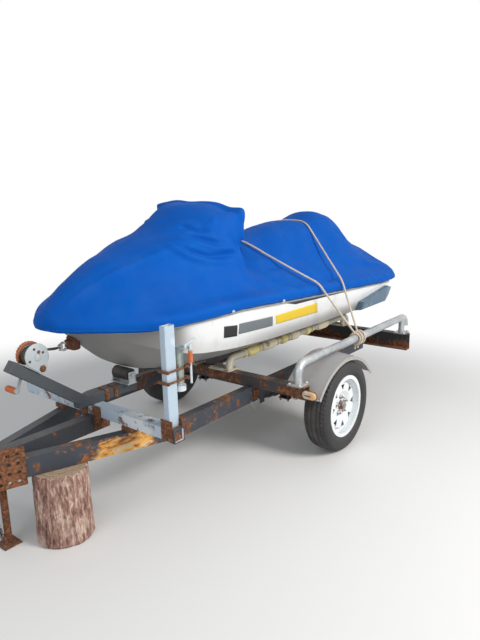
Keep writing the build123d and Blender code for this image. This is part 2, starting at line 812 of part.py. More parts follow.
# The bay is larger than the engine by its clearance
engine_middle = 10
engine_half_length = 280
engine_half_width = 180
engine_height = 210
bay_floor = 110
bay_clearance = 40
with BuildPart() as hull:
    for from_axle, keel, chine_y, chine, sheer_y in hull_stations:
        top = split_height(from_axle) + 30
        flare = (top - keel_z - chine) / (split_height(from_axle) - keel_z - chine)
        wide = chine_y + (sheer_y - chine_y) * flare
        with BuildSketch(Plane.YZ.offset(at(from_axle))):
            with BuildLine():
                Polyline(
                    (0, keel_z + keel),
                    (chine_y, keel_z + chine),
                    (wide, top),
                    (-wide, top),
                    (-chine_y, keel_z + chine),
                    close=True,
                )
            make_face()
    loft(ruled=True)
    with BuildSketch(Plane.XZ):
        with BuildLine():
            Polyline(
                (at(hull_tail - 50), split_height(hull_tail - 50)),
                (at(split_knee_x), split_knee),
                (at(hull_nose + 50), split_height(hull_nose + 50)),
                (at(hull_nose + 50), split_knee + 300),
                (at(hull_tail - 50), split_knee + 300),
                close=True,
            )
        make_face()
    extrude(amount=700, both=True, mode=Mode.SUBTRACT)
    box(at(hull_tail - 10), at(tunnel_front), -tunnel_half, tunnel_half, keel_z - 50,
        keel_z + tunnel_roof, mode=Mode.SUBTRACT)
    bay_length = engine_half_length + bay_clearance
    bay_width = engine_half_width + bay_clearance
    box(at(engine_middle - bay_length), at(engine_middle + bay_length), -bay_width, bay_width,
        keel_z + bay_floor, split_knee + 100, mode=Mode.SUBTRACT)
    box(at(tunnel_front), at(intake_front), -intake_half, intake_half, keel_z - 50,
        keel_z + intake_depth, mode=Mode.SUBTRACT)
write(hull, "hull")

# Intake grate: bars that follow the vee of the bottom, on two crosspieces
bar_thick = 6
bar_pitch = 24
grate_inset = 4
grate_top = 46
crosspiece_width = 16
crosspiece_thick = 10
with BuildPart() as grate:
    for step in range(-2, 3):
        y = step * bar_pitch
        low = keel_z + abs(y) * tan(radians(deadrise)) + grate_inset
        box(at(tunnel_front), at(intake_front), y - bar_thick / 2, y + bar_thick / 2, low, keel_z + grate_top)
    for x in (tunnel_front, intake_front - crosspiece_width):
        box(at(x), at(x + crosspiece_width), -intake_half, intake_half,
            keel_z + grate_top - crosspiece_thick, keel_z + grate_top)
write(grate, "intake_grate")

with BuildPart() as engine:
    box(at(engine_middle - engine_half_length), at(engine_middle + engine_half_length),
        -engine_half_width, engine_half_width, keel_z + bay_floor, keel_z + bay_floor + engine_height)
write(engine, "engine")

# Cover stations: forward of the axle, hem half width, then half width and height above the
# flat keel of waist, crease and upper line, and the height of the ridge
cover_stations = [
    (-stern_reach, 457, 421, 403, 200, 526, 120, 561, 567),
    (-1250, 475, 430, 408, 200, 540, 120, 583, 590),
    (-1120, 492, 440, 413, 200, 588, 100, 658, 668),
    (-1020, 500, 440, 418, 180, 658, 90, 734, 746),
    (-950, 503, 440, 418, 165, 738, 80, 798, 808),
    (-865, 505, 440, 423, 165, 773, 80, 822, 834),
    (-750, 508, 440, 428, 165, 793, 80, 836, 844),
    (rear_rope_x, 508, 440, 438, 160, 753, 80, 779, 781),
    (-382, 508, 440, 445, 165, 743, 80, 787, 793),
    (-119, 508, 440, 455, 165, 693, 80, 742, 750),
    (150, 508, 440, 468, 170, 638, 85, 683, 693),
    (290, 508, 430, 478, 190, 628, 100, 678, 690),
    (345, 508, 430, 478, 335, 660, 312, 853, 903),
    (430, 508, 430, 478, 350, 668, 322, 870, 930),
    (520, 508, 430, 483, 352, 675, 325, 863, 936),
    (split_knee_x, 507, 430, 483, 335, 688, 280, 850, 923),
    (680, 500, 425, 483, 300, 710, 210, 818, 873),
    (790, 487, 420, 483, 247, 728, 130, 778, 803),
    (900, 473, 410, 483, 205, 706, 110, 740, 756),
    (1100, 420, 355, 473, 150, 634, 85, 670, 681),
    (1200, 360, 300, 463, 118, 600, 70, 629, 638),
    (1290, 285, 225, 453, 88, 558, 50, 579, 586),
    (1360, 172, 130, 443, 70, 510, 40, 527, 533),
    (1415, 85, 65, 440, 40, 473, 25, 484, 488),
    (1455, 30, 22, 438, 14, 453, 8, 458, 460),
]
with BuildPart() as cover:
    for station in cover_stations:
        from_axle, hem_y, waist_y, waist, crease_y, crease, upper_y, upper, ridge = station
        base = split_height(from_axle) + seat_gap
        half = [
            (hem_y - min(hem_tuck, hem_y / 3), base),
            (hem_y, base + hem_rise),
            (waist_y, keel_z + waist),
            (crease_y, keel_z + crease),
            (upper_y, keel_z + upper),
        ]
        with BuildSketch(Plane.YZ.offset(at(from_axle))):
            with BuildLine():
                Polyline(*half, (0, keel_z + ridge), *[(-y, z) for y, z in reversed(half)], close=True)
            make_face()
    loft(ruled=True)
write(cover, "cover")

# Tie ropes: pulled tight over ridge, crease and hem, from a knot on each guide tube.
# Points: forward of the axle, out from the middle, height above the flat keel
rope_routes = {
    "tie_rope_rear": [(rear_rope_x + 7, 84, 790), (-524, 168, 764), (-370, 521, 424)],
    "tie_rope_front": [(128, 84, 706), (98, 184, 656), (-75, 521, 444)],
}
rope_knots = {"tie_rope_rear": -357, "tie_rope_front": -320}
for label, points in rope_routes.items():
    knot_x = rope_knots[label]
    knot_reach = guide_radius + rope_radius
    knot_away = atan2(keel_z + points[-1][2] - guide_z, points[-1][1] - guide_y)
    knot = (at(knot_x), guide_y + knot_reach * cos(knot_away), guide_z + knot_reach * sin(knot_away))
    port = [(at(x), y, keel_z + z) for x, y, z in points] + [knot]
    with BuildPart() as rope:
        with BuildLine() as route:
            FilletPolyline(
                *[(x, -y, z) for x, y, z in reversed(port)],
                *port,
                radius=30,
            )
        with BuildSketch(Plane(origin=route.line @ 0, z_dir=route.line % 0)) as section:
            Circle(rope_radius)
        sweep(section.sketch, path=route.line)
        for side in (1, -1):
            tail = (at(knot_x) - knot_length / 2, side * guide_y, guide_z)
            nose = (at(knot_x) + knot_length / 2, side * guide_y, guide_z)
            rod(tail, nose, guide_radius + seat_gap + 2 * rope_radius)
            rod(tail, nose, guide_radius + seat_gap, mode=Mode.SUBTRACT)
    write(rope, label)

# Sponsons along the stern quarters
with BuildPart() as sponson:
    for from_axle, sponson_y, foot_rise, top_rise in ((-1290, 440, 183, 253), (-1180, 462, 150, 278),
                                                      (-760, 470, 150, 218)):
        low = keel_z + foot_rise
        high = keel_z + top_rise
        with BuildSketch(Plane.YZ.offset(at(from_axle))):
            with BuildLine():
                Polyline(
                    (sponson_y - 60, low),
                    (sponson_y, low + 10),
                    (sponson_y + 20, high),
                    (sponson_y - 20, high),
                    close=True,
                )
            make_face()
    loft(ruled=True)
    add(hull.part, mode=Mode.SUBTRACT)
write_pair(sponson, "sponson")

# Ride plate under the pump tunnel
ride_low = keel_z + 12
ride_high = keel_z + 20
with BuildPart() as ride_plate:
    box(at(hull_tail - 20), at(tunnel_front), -tunnel_half, tunnel_half, ride_low, ride_high)
    for side in (1, -1):
        box(at(hull_tail), at(tunnel_front), side * (tunnel_half - 6), side * tunnel_half,
            ride_high, keel_z + 80)
write(ride_plate, "ride_plate")

# Jet pump with its bore, bearing hub and stator vanes
pump_tail = -1120
stator_tail = pump_tail + 14
with BuildPart() as pump:
    rod((at(pump_tail), 0, pump_z), (at(tunnel_front), 0, pump_z), pump_radius)
    rod((at(pump_tail - 1), 0, pump_z), (at(tunnel_front - 20), 0, pump_z), pump_radius - pump_wall,
        mode=Mode.SUBTRACT)
    rod((at(stator_tail), 0, pump_z), (at(stator_tail + 60), 0, pump_z), 26)
    with BuildSketch(Plane.YZ.offset(at(stator_tail))):
        with Locations((0, pump_z)):
            with PolarLocations(48, 6):
                Rectangle(50, 5)
    extrude(amount=50)
    for side in (1, -1):
        box(at(nozzle_pivot - 16), at(pump_tail + 10), -12, 12, pump_z + side * (pump_radius - 8),
            pump_z + side * (pump_radius))
write(pump, "jet_pump")

impeller_x = -950
with BuildPart() as impeller:
    rod((at(impeller_x - 55), 0, pump_z), (at(impeller_x + 55), 0, pump_z), 26)
    rod((at(impeller_x - 75), 0, pump_z), (at(impeller_x - 55), 0, pump_z), 12)
    for blade in range(3):
        with BuildSketch(Plane(origin=(at(impeller_x), 0, pump_z), x_dir=(0, 1, 0),
                               z_dir=(0, -sin(radians(120 * blade)), cos(radians(120 * blade))))):
            Rectangle(8, 70, rotation=35)
        extrude(amount=pump_radius - pump_wall - rotor_gap)
write(impeller, "impeller")

# Steering nozzle: tapered tube on upright pins between the pump's lugs
with BuildPart() as nozzle:
    with BuildSketch(Plane.YZ.offset(at(nozzle_pivot + 30))):
        with Locations((0, pump_z)):
            Circle(nozzle_radius)
    with BuildSketch(Plane.YZ.offset(at(nozzle_pivot + 30 - nozzle_length))):
        with Locations((0, pump_z)):
            Circle(nozzle_exit)
    loft()
    with BuildSketch(Plane.YZ.offset(at(nozzle_pivot + 31))):
        with Locations((0, pump_z)):
            Circle(nozzle_radius - nozzle_wall)
    with BuildSketch(Plane.YZ.offset(at(nozzle_pivot + 29 - nozzle_length))):
        with Locations((0, pump_z)):
            Circle(nozzle_exit - nozzle_wall)
    loft(mode=Mode.SUBTRACT)
    pin_reach = pump_radius - 8 - seat_gap
    for side in (1, -1):
        rod((at(nozzle_pivot), 0, pump_z + side * (nozzle_exit + 4)),
            (at(nozzle_pivot), 0, pump_z + side * pin_reach), 7)
write(nozzle, "steering_nozzle")

# Bow eye and the winch strap that pulls on it
eye_lean = hypot(1, keel_slope(eye_foot_x))
eye_x = eye_foot_x + eye_stand * keel_slope(eye_foot_x) / eye_lean
eye_z = keel_height(eye_foot_x) - eye_stand / eye_lean
with BuildPart() as eye:
    with BuildSketch(Plane(origin=(at(eye_x), 0, eye_z), x_dir=(1, 0, 0), z_dir=(0, -1, 0))):
        Circle(eye_radius)
        Circle(eye_hole, mode=Mode.SUBTRACT)
    extrude(amount=eye_wire / 2, both=True)
    add(hull.part, mode=Mode.SUBTRACT)
write(eye, "bow_eye")

# Winch strap: thin web from the drum to the bow eye
strap_from = Vector(winch_centre.X - 24, 0, winch_centre.Z + 26)
strap_to = Vector(at(eye_x) + eye_radius + 1, 0, eye_z)
strap_run = strap_to - strap_from
strap_turn = degrees(atan2(strap_run.Z, strap_run.X))
strap_width = drum_width - 12
with BuildPart() as strap:
    with BuildSketch(Plane.XZ):
        with Locations(((strap_from.X + strap_to.X) / 2, (strap_from.Z + strap_to.Z) / 2)):
            Rectangle(strap_run.length, 2, rotation=strap_turn)
    extrude(amount=strap_width / 2, both=True)
    add(winch.part, mode=Mode.SUBTRACT)
write(strap, "winch_strap")
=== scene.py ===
import json
import bmesh
import bpy
import numpy as np
from mathutils import Matrix, Vector


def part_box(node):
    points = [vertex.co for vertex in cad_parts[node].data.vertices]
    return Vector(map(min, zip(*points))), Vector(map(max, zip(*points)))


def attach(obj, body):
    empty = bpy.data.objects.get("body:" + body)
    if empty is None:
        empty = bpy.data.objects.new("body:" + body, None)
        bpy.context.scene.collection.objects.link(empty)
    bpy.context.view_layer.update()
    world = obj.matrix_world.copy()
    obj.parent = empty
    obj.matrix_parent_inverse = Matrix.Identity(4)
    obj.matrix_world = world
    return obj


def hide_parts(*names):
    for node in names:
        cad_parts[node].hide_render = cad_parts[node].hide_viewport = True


# Covered personal watercraft on its trailer. Metres: X to the bow, Y to port, Z up.

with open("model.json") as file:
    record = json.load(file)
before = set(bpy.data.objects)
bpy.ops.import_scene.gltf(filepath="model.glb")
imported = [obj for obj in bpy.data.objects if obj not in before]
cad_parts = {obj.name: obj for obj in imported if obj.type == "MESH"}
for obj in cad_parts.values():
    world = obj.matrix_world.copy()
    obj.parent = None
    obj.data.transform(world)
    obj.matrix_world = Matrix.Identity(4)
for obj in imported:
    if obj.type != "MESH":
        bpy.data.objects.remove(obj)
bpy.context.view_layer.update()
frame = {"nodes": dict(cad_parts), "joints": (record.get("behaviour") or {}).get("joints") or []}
nodes = frame["nodes"]
axleX, wheelY, axleZ = next(j for j in frame["joints"] if j["name"] == "wheel_left_spin")["pos_m"]
bothSides = (("left", 1), ("right", -1))
print("frame loaded", len(nodes), "nodes")


# Mesh helpers

def meshFrom(name, points, faces, smooth=True, uv=None):
    # points is (n, 3), faces is (m, 4), uv is (n, 2)
    mesh = bpy.data.meshes.new(name)
    points, faces = np.asarray(points, np.float32), np.asarray(faces, np.int32)
    count, corners = faces.shape
    mesh.vertices.add(len(points))
    mesh.vertices.foreach_set("co", points.ravel())
    mesh.loops.add(count * corners)
    mesh.loops.foreach_set("vertex_index", faces.ravel())
    mesh.polygons.add(count)
    mesh.polygons.foreach_set("loop_start", np.arange(0, count * corners, corners, dtype=np.int32))
    mesh.update(calc_edges=True)
    mesh.polygons.foreach_set("use_smooth", np.full(count, smooth))
    if uv is not None:
        layer = mesh.uv_layers.new(name="UVMap")
        layer.data.foreach_set("uv", np.asarray(uv, np.float32)[faces.ravel()].ravel())
    piece = bpy.data.objects.new(name, mesh)
    bpy.context.scene.collection.objects.link(piece)
    return piece


def merged(piece, gap, outward=True):
    # seams and poles merged, faces turned outwards
    work = bmesh.new()
    work.from_mesh(piece.data)
    bmesh.ops.remove_doubles(work, verts=work.verts, dist=gap)
    if outward:
        bmesh.ops.recalc_face_normals(work, faces=work.faces)
    work.to_mesh(piece.data)
    work.free()
    return piece


def gridFaces(rows, columns, closeRows=False, closeColumns=False):
    # quads between neighbours of a rows by columns grid
    index = np.arange(rows * columns).reshape(rows, columns)
    if closeRows:
        index = np.vstack((index, index[:1]))
    if closeColumns:
        index = np.hstack((index, index[:, :1]))
    return np.stack((index[:-1, :-1], index[1:, :-1], index[1:, 1:], index[:-1, 1:]), -1).reshape(-1, 4)


def gridPiece(points, closeRows=False, closeColumns=False):
    # (rows, columns, 3) array of points to the pair that joined() takes
    return points.reshape(-1, 3), gridFaces(*points.shape[:2], closeRows, closeColumns)


def capped(rings):
    # a skin of closed rings, shut by a point in the middle of its first and its last ring
    ends = [ring.mean(0, keepdims=True).repeat(rings.shape[1], 0)[None] for ring in (rings[0], rings[-1])]
    return gridPiece(np.concatenate((ends[0], rings, ends[1])), closeColumns=True)


def joined(name, parts):
    # one mesh from many (points, faces) pairs
    sizes = np.cumsum([0] + [len(points) for points, _ in parts])
    points = np.concatenate([points for points, _ in parts])
    faces = np.concatenate([faces + size for (_, faces), size in zip(parts, sizes)])
    return merged(meshFrom(name, points, faces), 2e-6)


def placed(piece, material, slot, *replaced, body="root"):
    # finish, body and the solids that the piece stands for; slot is not used
    piece.data.materials.clear()
    piece.data.materials.append(material)
    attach(piece, body)
    if replaced:
        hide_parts(*replaced)
    return piece


def put(name, parts, *finish, **ridden):
    # parts joined to a piece and placed
    return placed(joined(name, parts), *finish, **ridden)


def smoothStep(low, high, value):
    # 0 below low, 1 above high, 3t2 - 2t3 between
    t = np.clip((value - low) / (high - low), 0, 1)
    return t * t * (3 - 2 * t)


def gauss(value, middle, width):
    # bell curve: 1 at the middle, 1/e a width away
    return np.exp(-((value - middle) / width) ** 2)


def unit(vectors):
    # vectors at length 1
    return vectors / np.maximum(np.linalg.norm(vectors, axis=-1, keepdims=True), 1e-9)


def cubic(t, low, high, lowRise, highRise):
    # curve over one cell from the values at its ends and what their slopes would rise over it
    return ((2 * t**3 - 3 * t**2 + 1) * low + (t**3 - 2 * t**2 + t) * lowRise
            + (3 * t**2 - 2 * t**3) * high + (t**3 - t**2) * highRise)


def hermite(knots, values, at):
    # smooth curve through values at knots, its slopes those of the chords between neighbours
    knots, values = np.asarray(knots, float), np.asarray(values, float)
    slope = np.gradient(values, knots, axis=0)
    cell = np.clip(np.searchsorted(knots, at) - 1, 0, len(knots) - 2)
    width = knots[cell + 1] - knots[cell]
    t = (at - knots[cell]) / width
    shape = (slice(None),) + (None,) * (values.ndim - 1)
    t, width = t[shape], width[shape]
    return cubic(t, values[cell], values[cell + 1], width * slope[cell], width * slope[cell + 1])


def wheeled(centre, radius, turn, out=0):
    # points at a radius and turn about a Y axis through centre
    radius, turn, out = np.broadcast_arrays(radius, turn, out)
    return np.asarray(centre) + np.stack((radius * np.cos(turn), out, radius * np.sin(turn)), -1)


def turned(profile, place, axis=(0, 1, 0), steps=48, closed=False):
    # profile of (along, radius) pairs turned about an axis through place
    axis = unit(np.asarray(axis, float))
    side = unit(np.cross(axis, (0, 0, 1) if abs(axis[2]) < .9 else (1, 0, 0)))
    up = np.cross(axis, side)
    angle = np.linspace(0, 2 * np.pi, steps, endpoint=False)[:, None, None]
    along, radius = np.asarray(profile, float).T
    spoke = np.cos(angle) * side + np.sin(angle) * up
    points = np.asarray(place) + along[None, :, None] * axis + radius[None, :, None] * spoke
    return gridPiece(points, closeRows=True, closeColumns=closed)


def tube(path, radius, sides, guide=(1, 0, 0), closed=False, lobes=0, twist=0):
    # rings about a path; a rope's ring has lobes that turn by twist radians a metre
    path = np.asarray(path, float)
    run = unit(np.roll(path, -1, 0) - np.roll(path, 1, 0) if closed else np.gradient(path, axis=0))
    side = unit(np.cross(run, guide))
    up = np.cross(side, run)
    length = np.concatenate(([0], np.cumsum(np.linalg.norm(np.diff(path, axis=0), axis=1))))
    angle = np.linspace(0, 2 * np.pi, sides, endpoint=False)[None]
    ring = np.full((len(path), sides), radius)
    if lobes:
        groove = .18
        ring *= 1 - groove + groove * np.abs(np.cos(lobes / 2 * (angle - twist * length[:, None])))
    points = (path[:, None] + ring[..., None] * (np.cos(angle)[..., None] * side[:, None]
                                                  + np.sin(angle)[..., None] * up[:, None]))
    if not closed:
        points = np.concatenate((path[:1, None].repeat(sides, 1), points, path[-1:, None].repeat(sides, 1)))
    return gridPiece(points, closeRows=closed, closeColumns=True)


def block(low, high, edge, side=1):
    # box with its edges eased: a superellipsoid whose power follows the edge; side -1 mirrors it
    low, high = np.asarray(low, float), np.asarray(high, float)
    half, middle = (high - low) / 2, (high + low) / 2 * (1, side, 1)
    tall = np.linspace(-np.pi / 2, np.pi / 2, 13)[:, None]
    lap = np.linspace(-np.pi, np.pi, 24, endpoint=False)[None]
    ball = np.stack((np.cos(tall) * np.cos(lap), np.cos(tall) * np.sin(lap), np.sin(tall) + 0 * lap), -1)
    cube = ball / np.maximum(np.abs(ball).max(-1, keepdims=True), 1e-6)
    core = np.clip(cube * half, edge - half, half - edge)
    return gridPiece(middle + core + edge * unit(cube * half - core), closeColumns=True)


def boltHead(place, axis=(0, 0, 1), radius=.0075, height=.007):
    # hexagon head on a washer, its shank left out
    profile = [(0, 0), (0, radius * 1.5), (.0015, radius * 1.5), (.0015, radius), (height, radius * .96),
               (height + .001, radius * .8), (height + .001, 0)]
    return turned(profile, place, axis, steps=6)


# Camera

def makeCamera():
    place = dict(at=(2.327, 2.17, 1.462), yaw=51.27, pitch=12.371, roll=1.427, lens=30.773)
    camera = bpy.data.cameras.new("camera")
    camera.lens = place["lens"]
    camera.sensor_width = 36
    camera.clip_end = 200
    holder = bpy.data.objects.new("camera", camera)
    holder.matrix_world = Matrix.Translation(place["at"])
    for angle, axis in ((180 - place["yaw"], "Z"), (90 - place["pitch"], "X"), (-place["roll"], "Z")):
        holder.matrix_world @= Matrix.Rotation(np.radians(angle), 4, axis)
    bpy.context.scene.collection.objects.link(holder)
    bpy.context.scene.camera = holder


makeCamera()


# Shader helpers: sockets and numbers in, a socket out, made in the tree of the first socket

def feed(socket, value):
    # a link or a value, three numbers as an opaque colour
    if isinstance(value, bpy.types.NodeSocket):
        socket.id_data.links.new(value, socket)
    else:
        socket.default_value = (*value, 1) if socket.type == "RGBA" and len(value) == 3 else value


def node(tree, kind, inputs=None, **props):
    made = tree.nodes.new("ShaderNode" + kind)
    for key, value in props.items():
        setattr(made, key, value)
    for key, value in (inputs or {}).items():
        feed(made.inputs[key], value)
    return made


def math(operation, *values, clamp=False):
    tree = next(value.id_data for value in values if isinstance(value, bpy.types.NodeSocket))
    return node(tree, "Math", dict(enumerate(values)), operation=operation, use_clamp=clamp).outputs[0]


def times(first, *others):
    for other in others:
        first = math("MULTIPLY", first, other)
    return first


def plus(a, b):
    return math("ADD", a, b)


def minus(a, b):
    return math("SUBTRACT", a, b)


def part(vector, axis):
    # one coordinate, by its letter
    return node(vector.id_data, "SeparateXYZ", {0: vector}).outputs[axis]


def facing(tree, axis):
    # how far the surface faces along an axis
    return part(node(tree, "NewGeometry").outputs["Normal"], axis)


def mapped(place, shift=(0, 0, 0), scale=(1, 1, 1)):
    # place moved, then stretched
    return node(place.id_data, "Mapping", {0: place, 1: shift, 3: scale}).outputs[0]


def fromAxis(place, keep):
    # distance from the axis that keep leaves out
    flat = node(place.id_data, "VectorMath", {0: place, 1: keep}, operation="MULTIPLY").outputs[0]
    return node(place.id_data, "VectorMath", {0: flat}, operation="LENGTH").outputs["Value"]


def noise(place, scale, detail, rough, distortion=0):
    looks = {"Vector": place, "Scale": scale, "Detail": detail, "Roughness": rough, "Distortion": distortion}
    return node(place.id_data, "TexNoise", looks).outputs["Fac"]


def spread(value, low, high):
    # 0 at low, 1 at high, smooth between
    looks = {"Value": value, "From Min": low, "From Max": high}
    return node(value.id_data, "MapRange", looks, interpolation_type="SMOOTHSTEP").outputs[0]


def patches(place, low, high, *look):
    # noise of that look, 0 below low and 1 above high
    return spread(noise(place, *look), low, high)


def over(base, colour, mask, share=None):
    # colour over base where the mask is 1, at a share of its strength
    mask = mask if share is None else times(mask, share)
    return node(mask.id_data, "Mix", {0: mask, 6: base, 7: colour}, data_type="RGBA").outputs[2]


def blend(factor, a, b):
    # number between a and b
    return node(factor.id_data, "Mix", {0: factor, 2: a, 3: b}, data_type="FLOAT").outputs[0]


def ramp(value, stops):
    # colours at places along a value
    made = node(value.id_data, "ValToRGB", {0: value})
    points = made.color_ramp.elements
    while len(points) < len(stops):
        points.new(.5)
    for point, (where, colour) in zip(points, stops):
        point.position = where
        point.color = (*colour, 1)
    return made.outputs[0]


def makeGroup(name, numbers, outs):
    # group with a place, float inputs and outputs
    tree = bpy.data.node_groups.new(name, "ShaderNodeTree")
    tree.interface.new_socket("Place", in_out="INPUT", socket_type="NodeSocketVector")
    for label, value in numbers.items():
        tree.interface.new_socket(label, in_out="INPUT", socket_type="NodeSocketFloat").default_value = value
    for label in outs:
        kind = "NodeSocketColor" if label == "Colour" else "NodeSocketFloat"
        tree.interface.new_socket(label, in_out="OUTPUT", socket_type=kind)
    return tree, tree.nodes.new("NodeGroupInput").outputs, tree.nodes.new("NodeGroupOutput").inputs


def use(group, place, **inputs):
    # outputs of a shared group
    made = node(place.id_data, "Group", node_tree=group)
    for key, value in {"Place": place, **inputs}.items():
        feed(made.inputs[key], value)
    return made.outputs


# Effects that several finishes share

def rustGroup():
    # blooms where a coarse noise passes a threshold, speckled by a finer one
    tree, given, out = makeGroup("rustBloom", dict(Scale=8.0, Amount=.3), ("Mask", "Colour", "Height"))
    coarse = noise(given["Place"], given["Scale"], 5, .62, .4)
    fine = noise(given["Place"], times(given["Scale"], 6.0), 4, .7)
    both = plus(coarse, times(minus(fine, .5), .42))
    share = math("DIVIDE", minus(both, minus(.78, times(given["Amount"], .5))), .07, clamp=True)
    feed(out["Mask"], share)
    feed(out["Colour"], ramp(fine, [(.3, (.035, .014, .009)), (.48, (.115, .042, .018)),
                                    (.62, (.27, .10, .034)), (.75, (.36, .17, .07))]))
    feed(out["Height"], times(share, fine))
    return tree


def dustGroup():
    # settles on what faces up, patchy
    tree, given, out = makeGroup("dustFilm", dict(Amount=.4), ("Mask", "Colour"))
    patchy = patches(given["Place"], .3, .75, 7.0, 5, .6)
    lies = times(spread(facing(tree, "Z"), -.3, 1.0), patchy)
    feed(out["Mask"], math("MULTIPLY", lies, given["Amount"], clamp=True))
    feed(out["Colour"], ramp(patchy, [(0, (.20, .17, .13)), (1, (.38, .34, .28))]))
    return tree


def rubGroup():
    # edges worn bare: how far a rounded normal turns from the face's own
    tree, given, out = makeGroup("edgeRub", dict(Width=.006, Amount=.5), ("Mask",))
    bevel = node(tree, "Bevel", {"Radius": given["Width"]}, samples=4).outputs[0]
    flat = node(tree, "NewGeometry").outputs["Normal"]
    same = node(tree, "VectorMath", {0: bevel, 1: flat}, operation="DOT_PRODUCT").outputs["Value"]
    ragged = times(spread(minus(1.0, same), .02, .22), patches(given["Place"], .38, .6, 30.0, 5, .65))
    feed(out["Mask"], math("MULTIPLY", ragged, given["Amount"], clamp=True))
    return tree


def weaveGroup():
    # two crossing sets of threads
    tree, given, out = makeGroup("threadWeave", dict(Threads=400.0), ("Height", "Shade"))
    threads = [math("ABSOLUTE", math("SINE", times(part(given["Place"], axis), given["Threads"], np.pi)))
               for axis in ("X", "Y")]
    feed(out["Height"], math("MAXIMUM", *threads))
    feed(out["Shade"], times(*threads))
    return tree


rustBloom, dustFilm, edgeRub, threadWeave = rustGroup(), dustGroup(), rubGroup(), weaveGroup()


def newMaterial(name):
    # material, its shader's inputs and the place on the piece
    material = bpy.data.materials.new(name)
    material.use_nodes = True
    tree = material.node_tree
    tree.nodes.clear()
    shader = node(tree, "BsdfPrincipled")
    feed(node(tree, "OutputMaterial").inputs[0], shader.outputs[0])
    return material, shader.inputs, node(tree, "TexCoord").outputs["Object"]


def finish(look, height, strength, distance, **inputs):
    # bump, and the shader's other inputs, named in camelCase
    made = node(look["Normal"].id_data, "Bump", dict(Height=height, Strength=strength, Distance=distance))
    feed(look["Normal"], made.outputs[0])
    names = dict(colour="Base Color", rough="Roughness", metal="Metallic", coat="Coat Weight",
                 coatRough="Coat Roughness", shine="Specular IOR Level", sheen="Sheen Weight",
                 deep="Subsurface Weight")
    for key, value in inputs.items():
        feed(look[names[key]], value)


def rusted(place, paint, scale, amount, rub, share=None):
    # paint with rust blooms and worn edges: colour, mask and height
    bloom = use(rustBloom, place, Scale=scale, Amount=amount)
    mask = math("MAXIMUM", bloom["Mask"], use(edgeRub, place, Amount=rub)["Mask"])
    mask = mask if share is None else times(mask, share)
    return over(paint, bloom["Colour"], mask), mask, bloom["Height"]


def dusted(place, colour, amount):
    # colour under a film of dust, and the film's mask
    film = use(dustFilm, place, Amount=amount)
    return over(colour, film["Colour"], film["Mask"]), film["Mask"]


def coated(name, colour, rough, metal, rust, rub, dust, tint, pits, spots=None):
    # paint or bare metal with rust blooms, worn edges, dust and a slow drift of tone
    material, look, place = newMaterial(name)
    darker, paler = [[min(1, c * share) for c in colour] for share in (1 - tint, 1 + tint)]
    paint = over(darker, paler, noise(place, 3.1, 4, .6))
    if spots:
        tone, scale, start = spots
        paint = over(paint, tone, patches(place, start, start + .05, scale, 3, .5))
    base, mask, height = rusted(place, paint, *rust, rub)
    base, film = dusted(place, base, dust)
    dull = math("MAXIMUM", mask, film)
    fine = noise(place, 60.0, 4, .6)
    bare = plus(rough, times(minus(fine, .5), .16))
    finish(look, plus(height, times(fine, .18)), .55, pits / 1000, colour=base,
           rough=blend(dull, bare, .86), metal=metal and blend(dull, metal, 0.0))
    return material


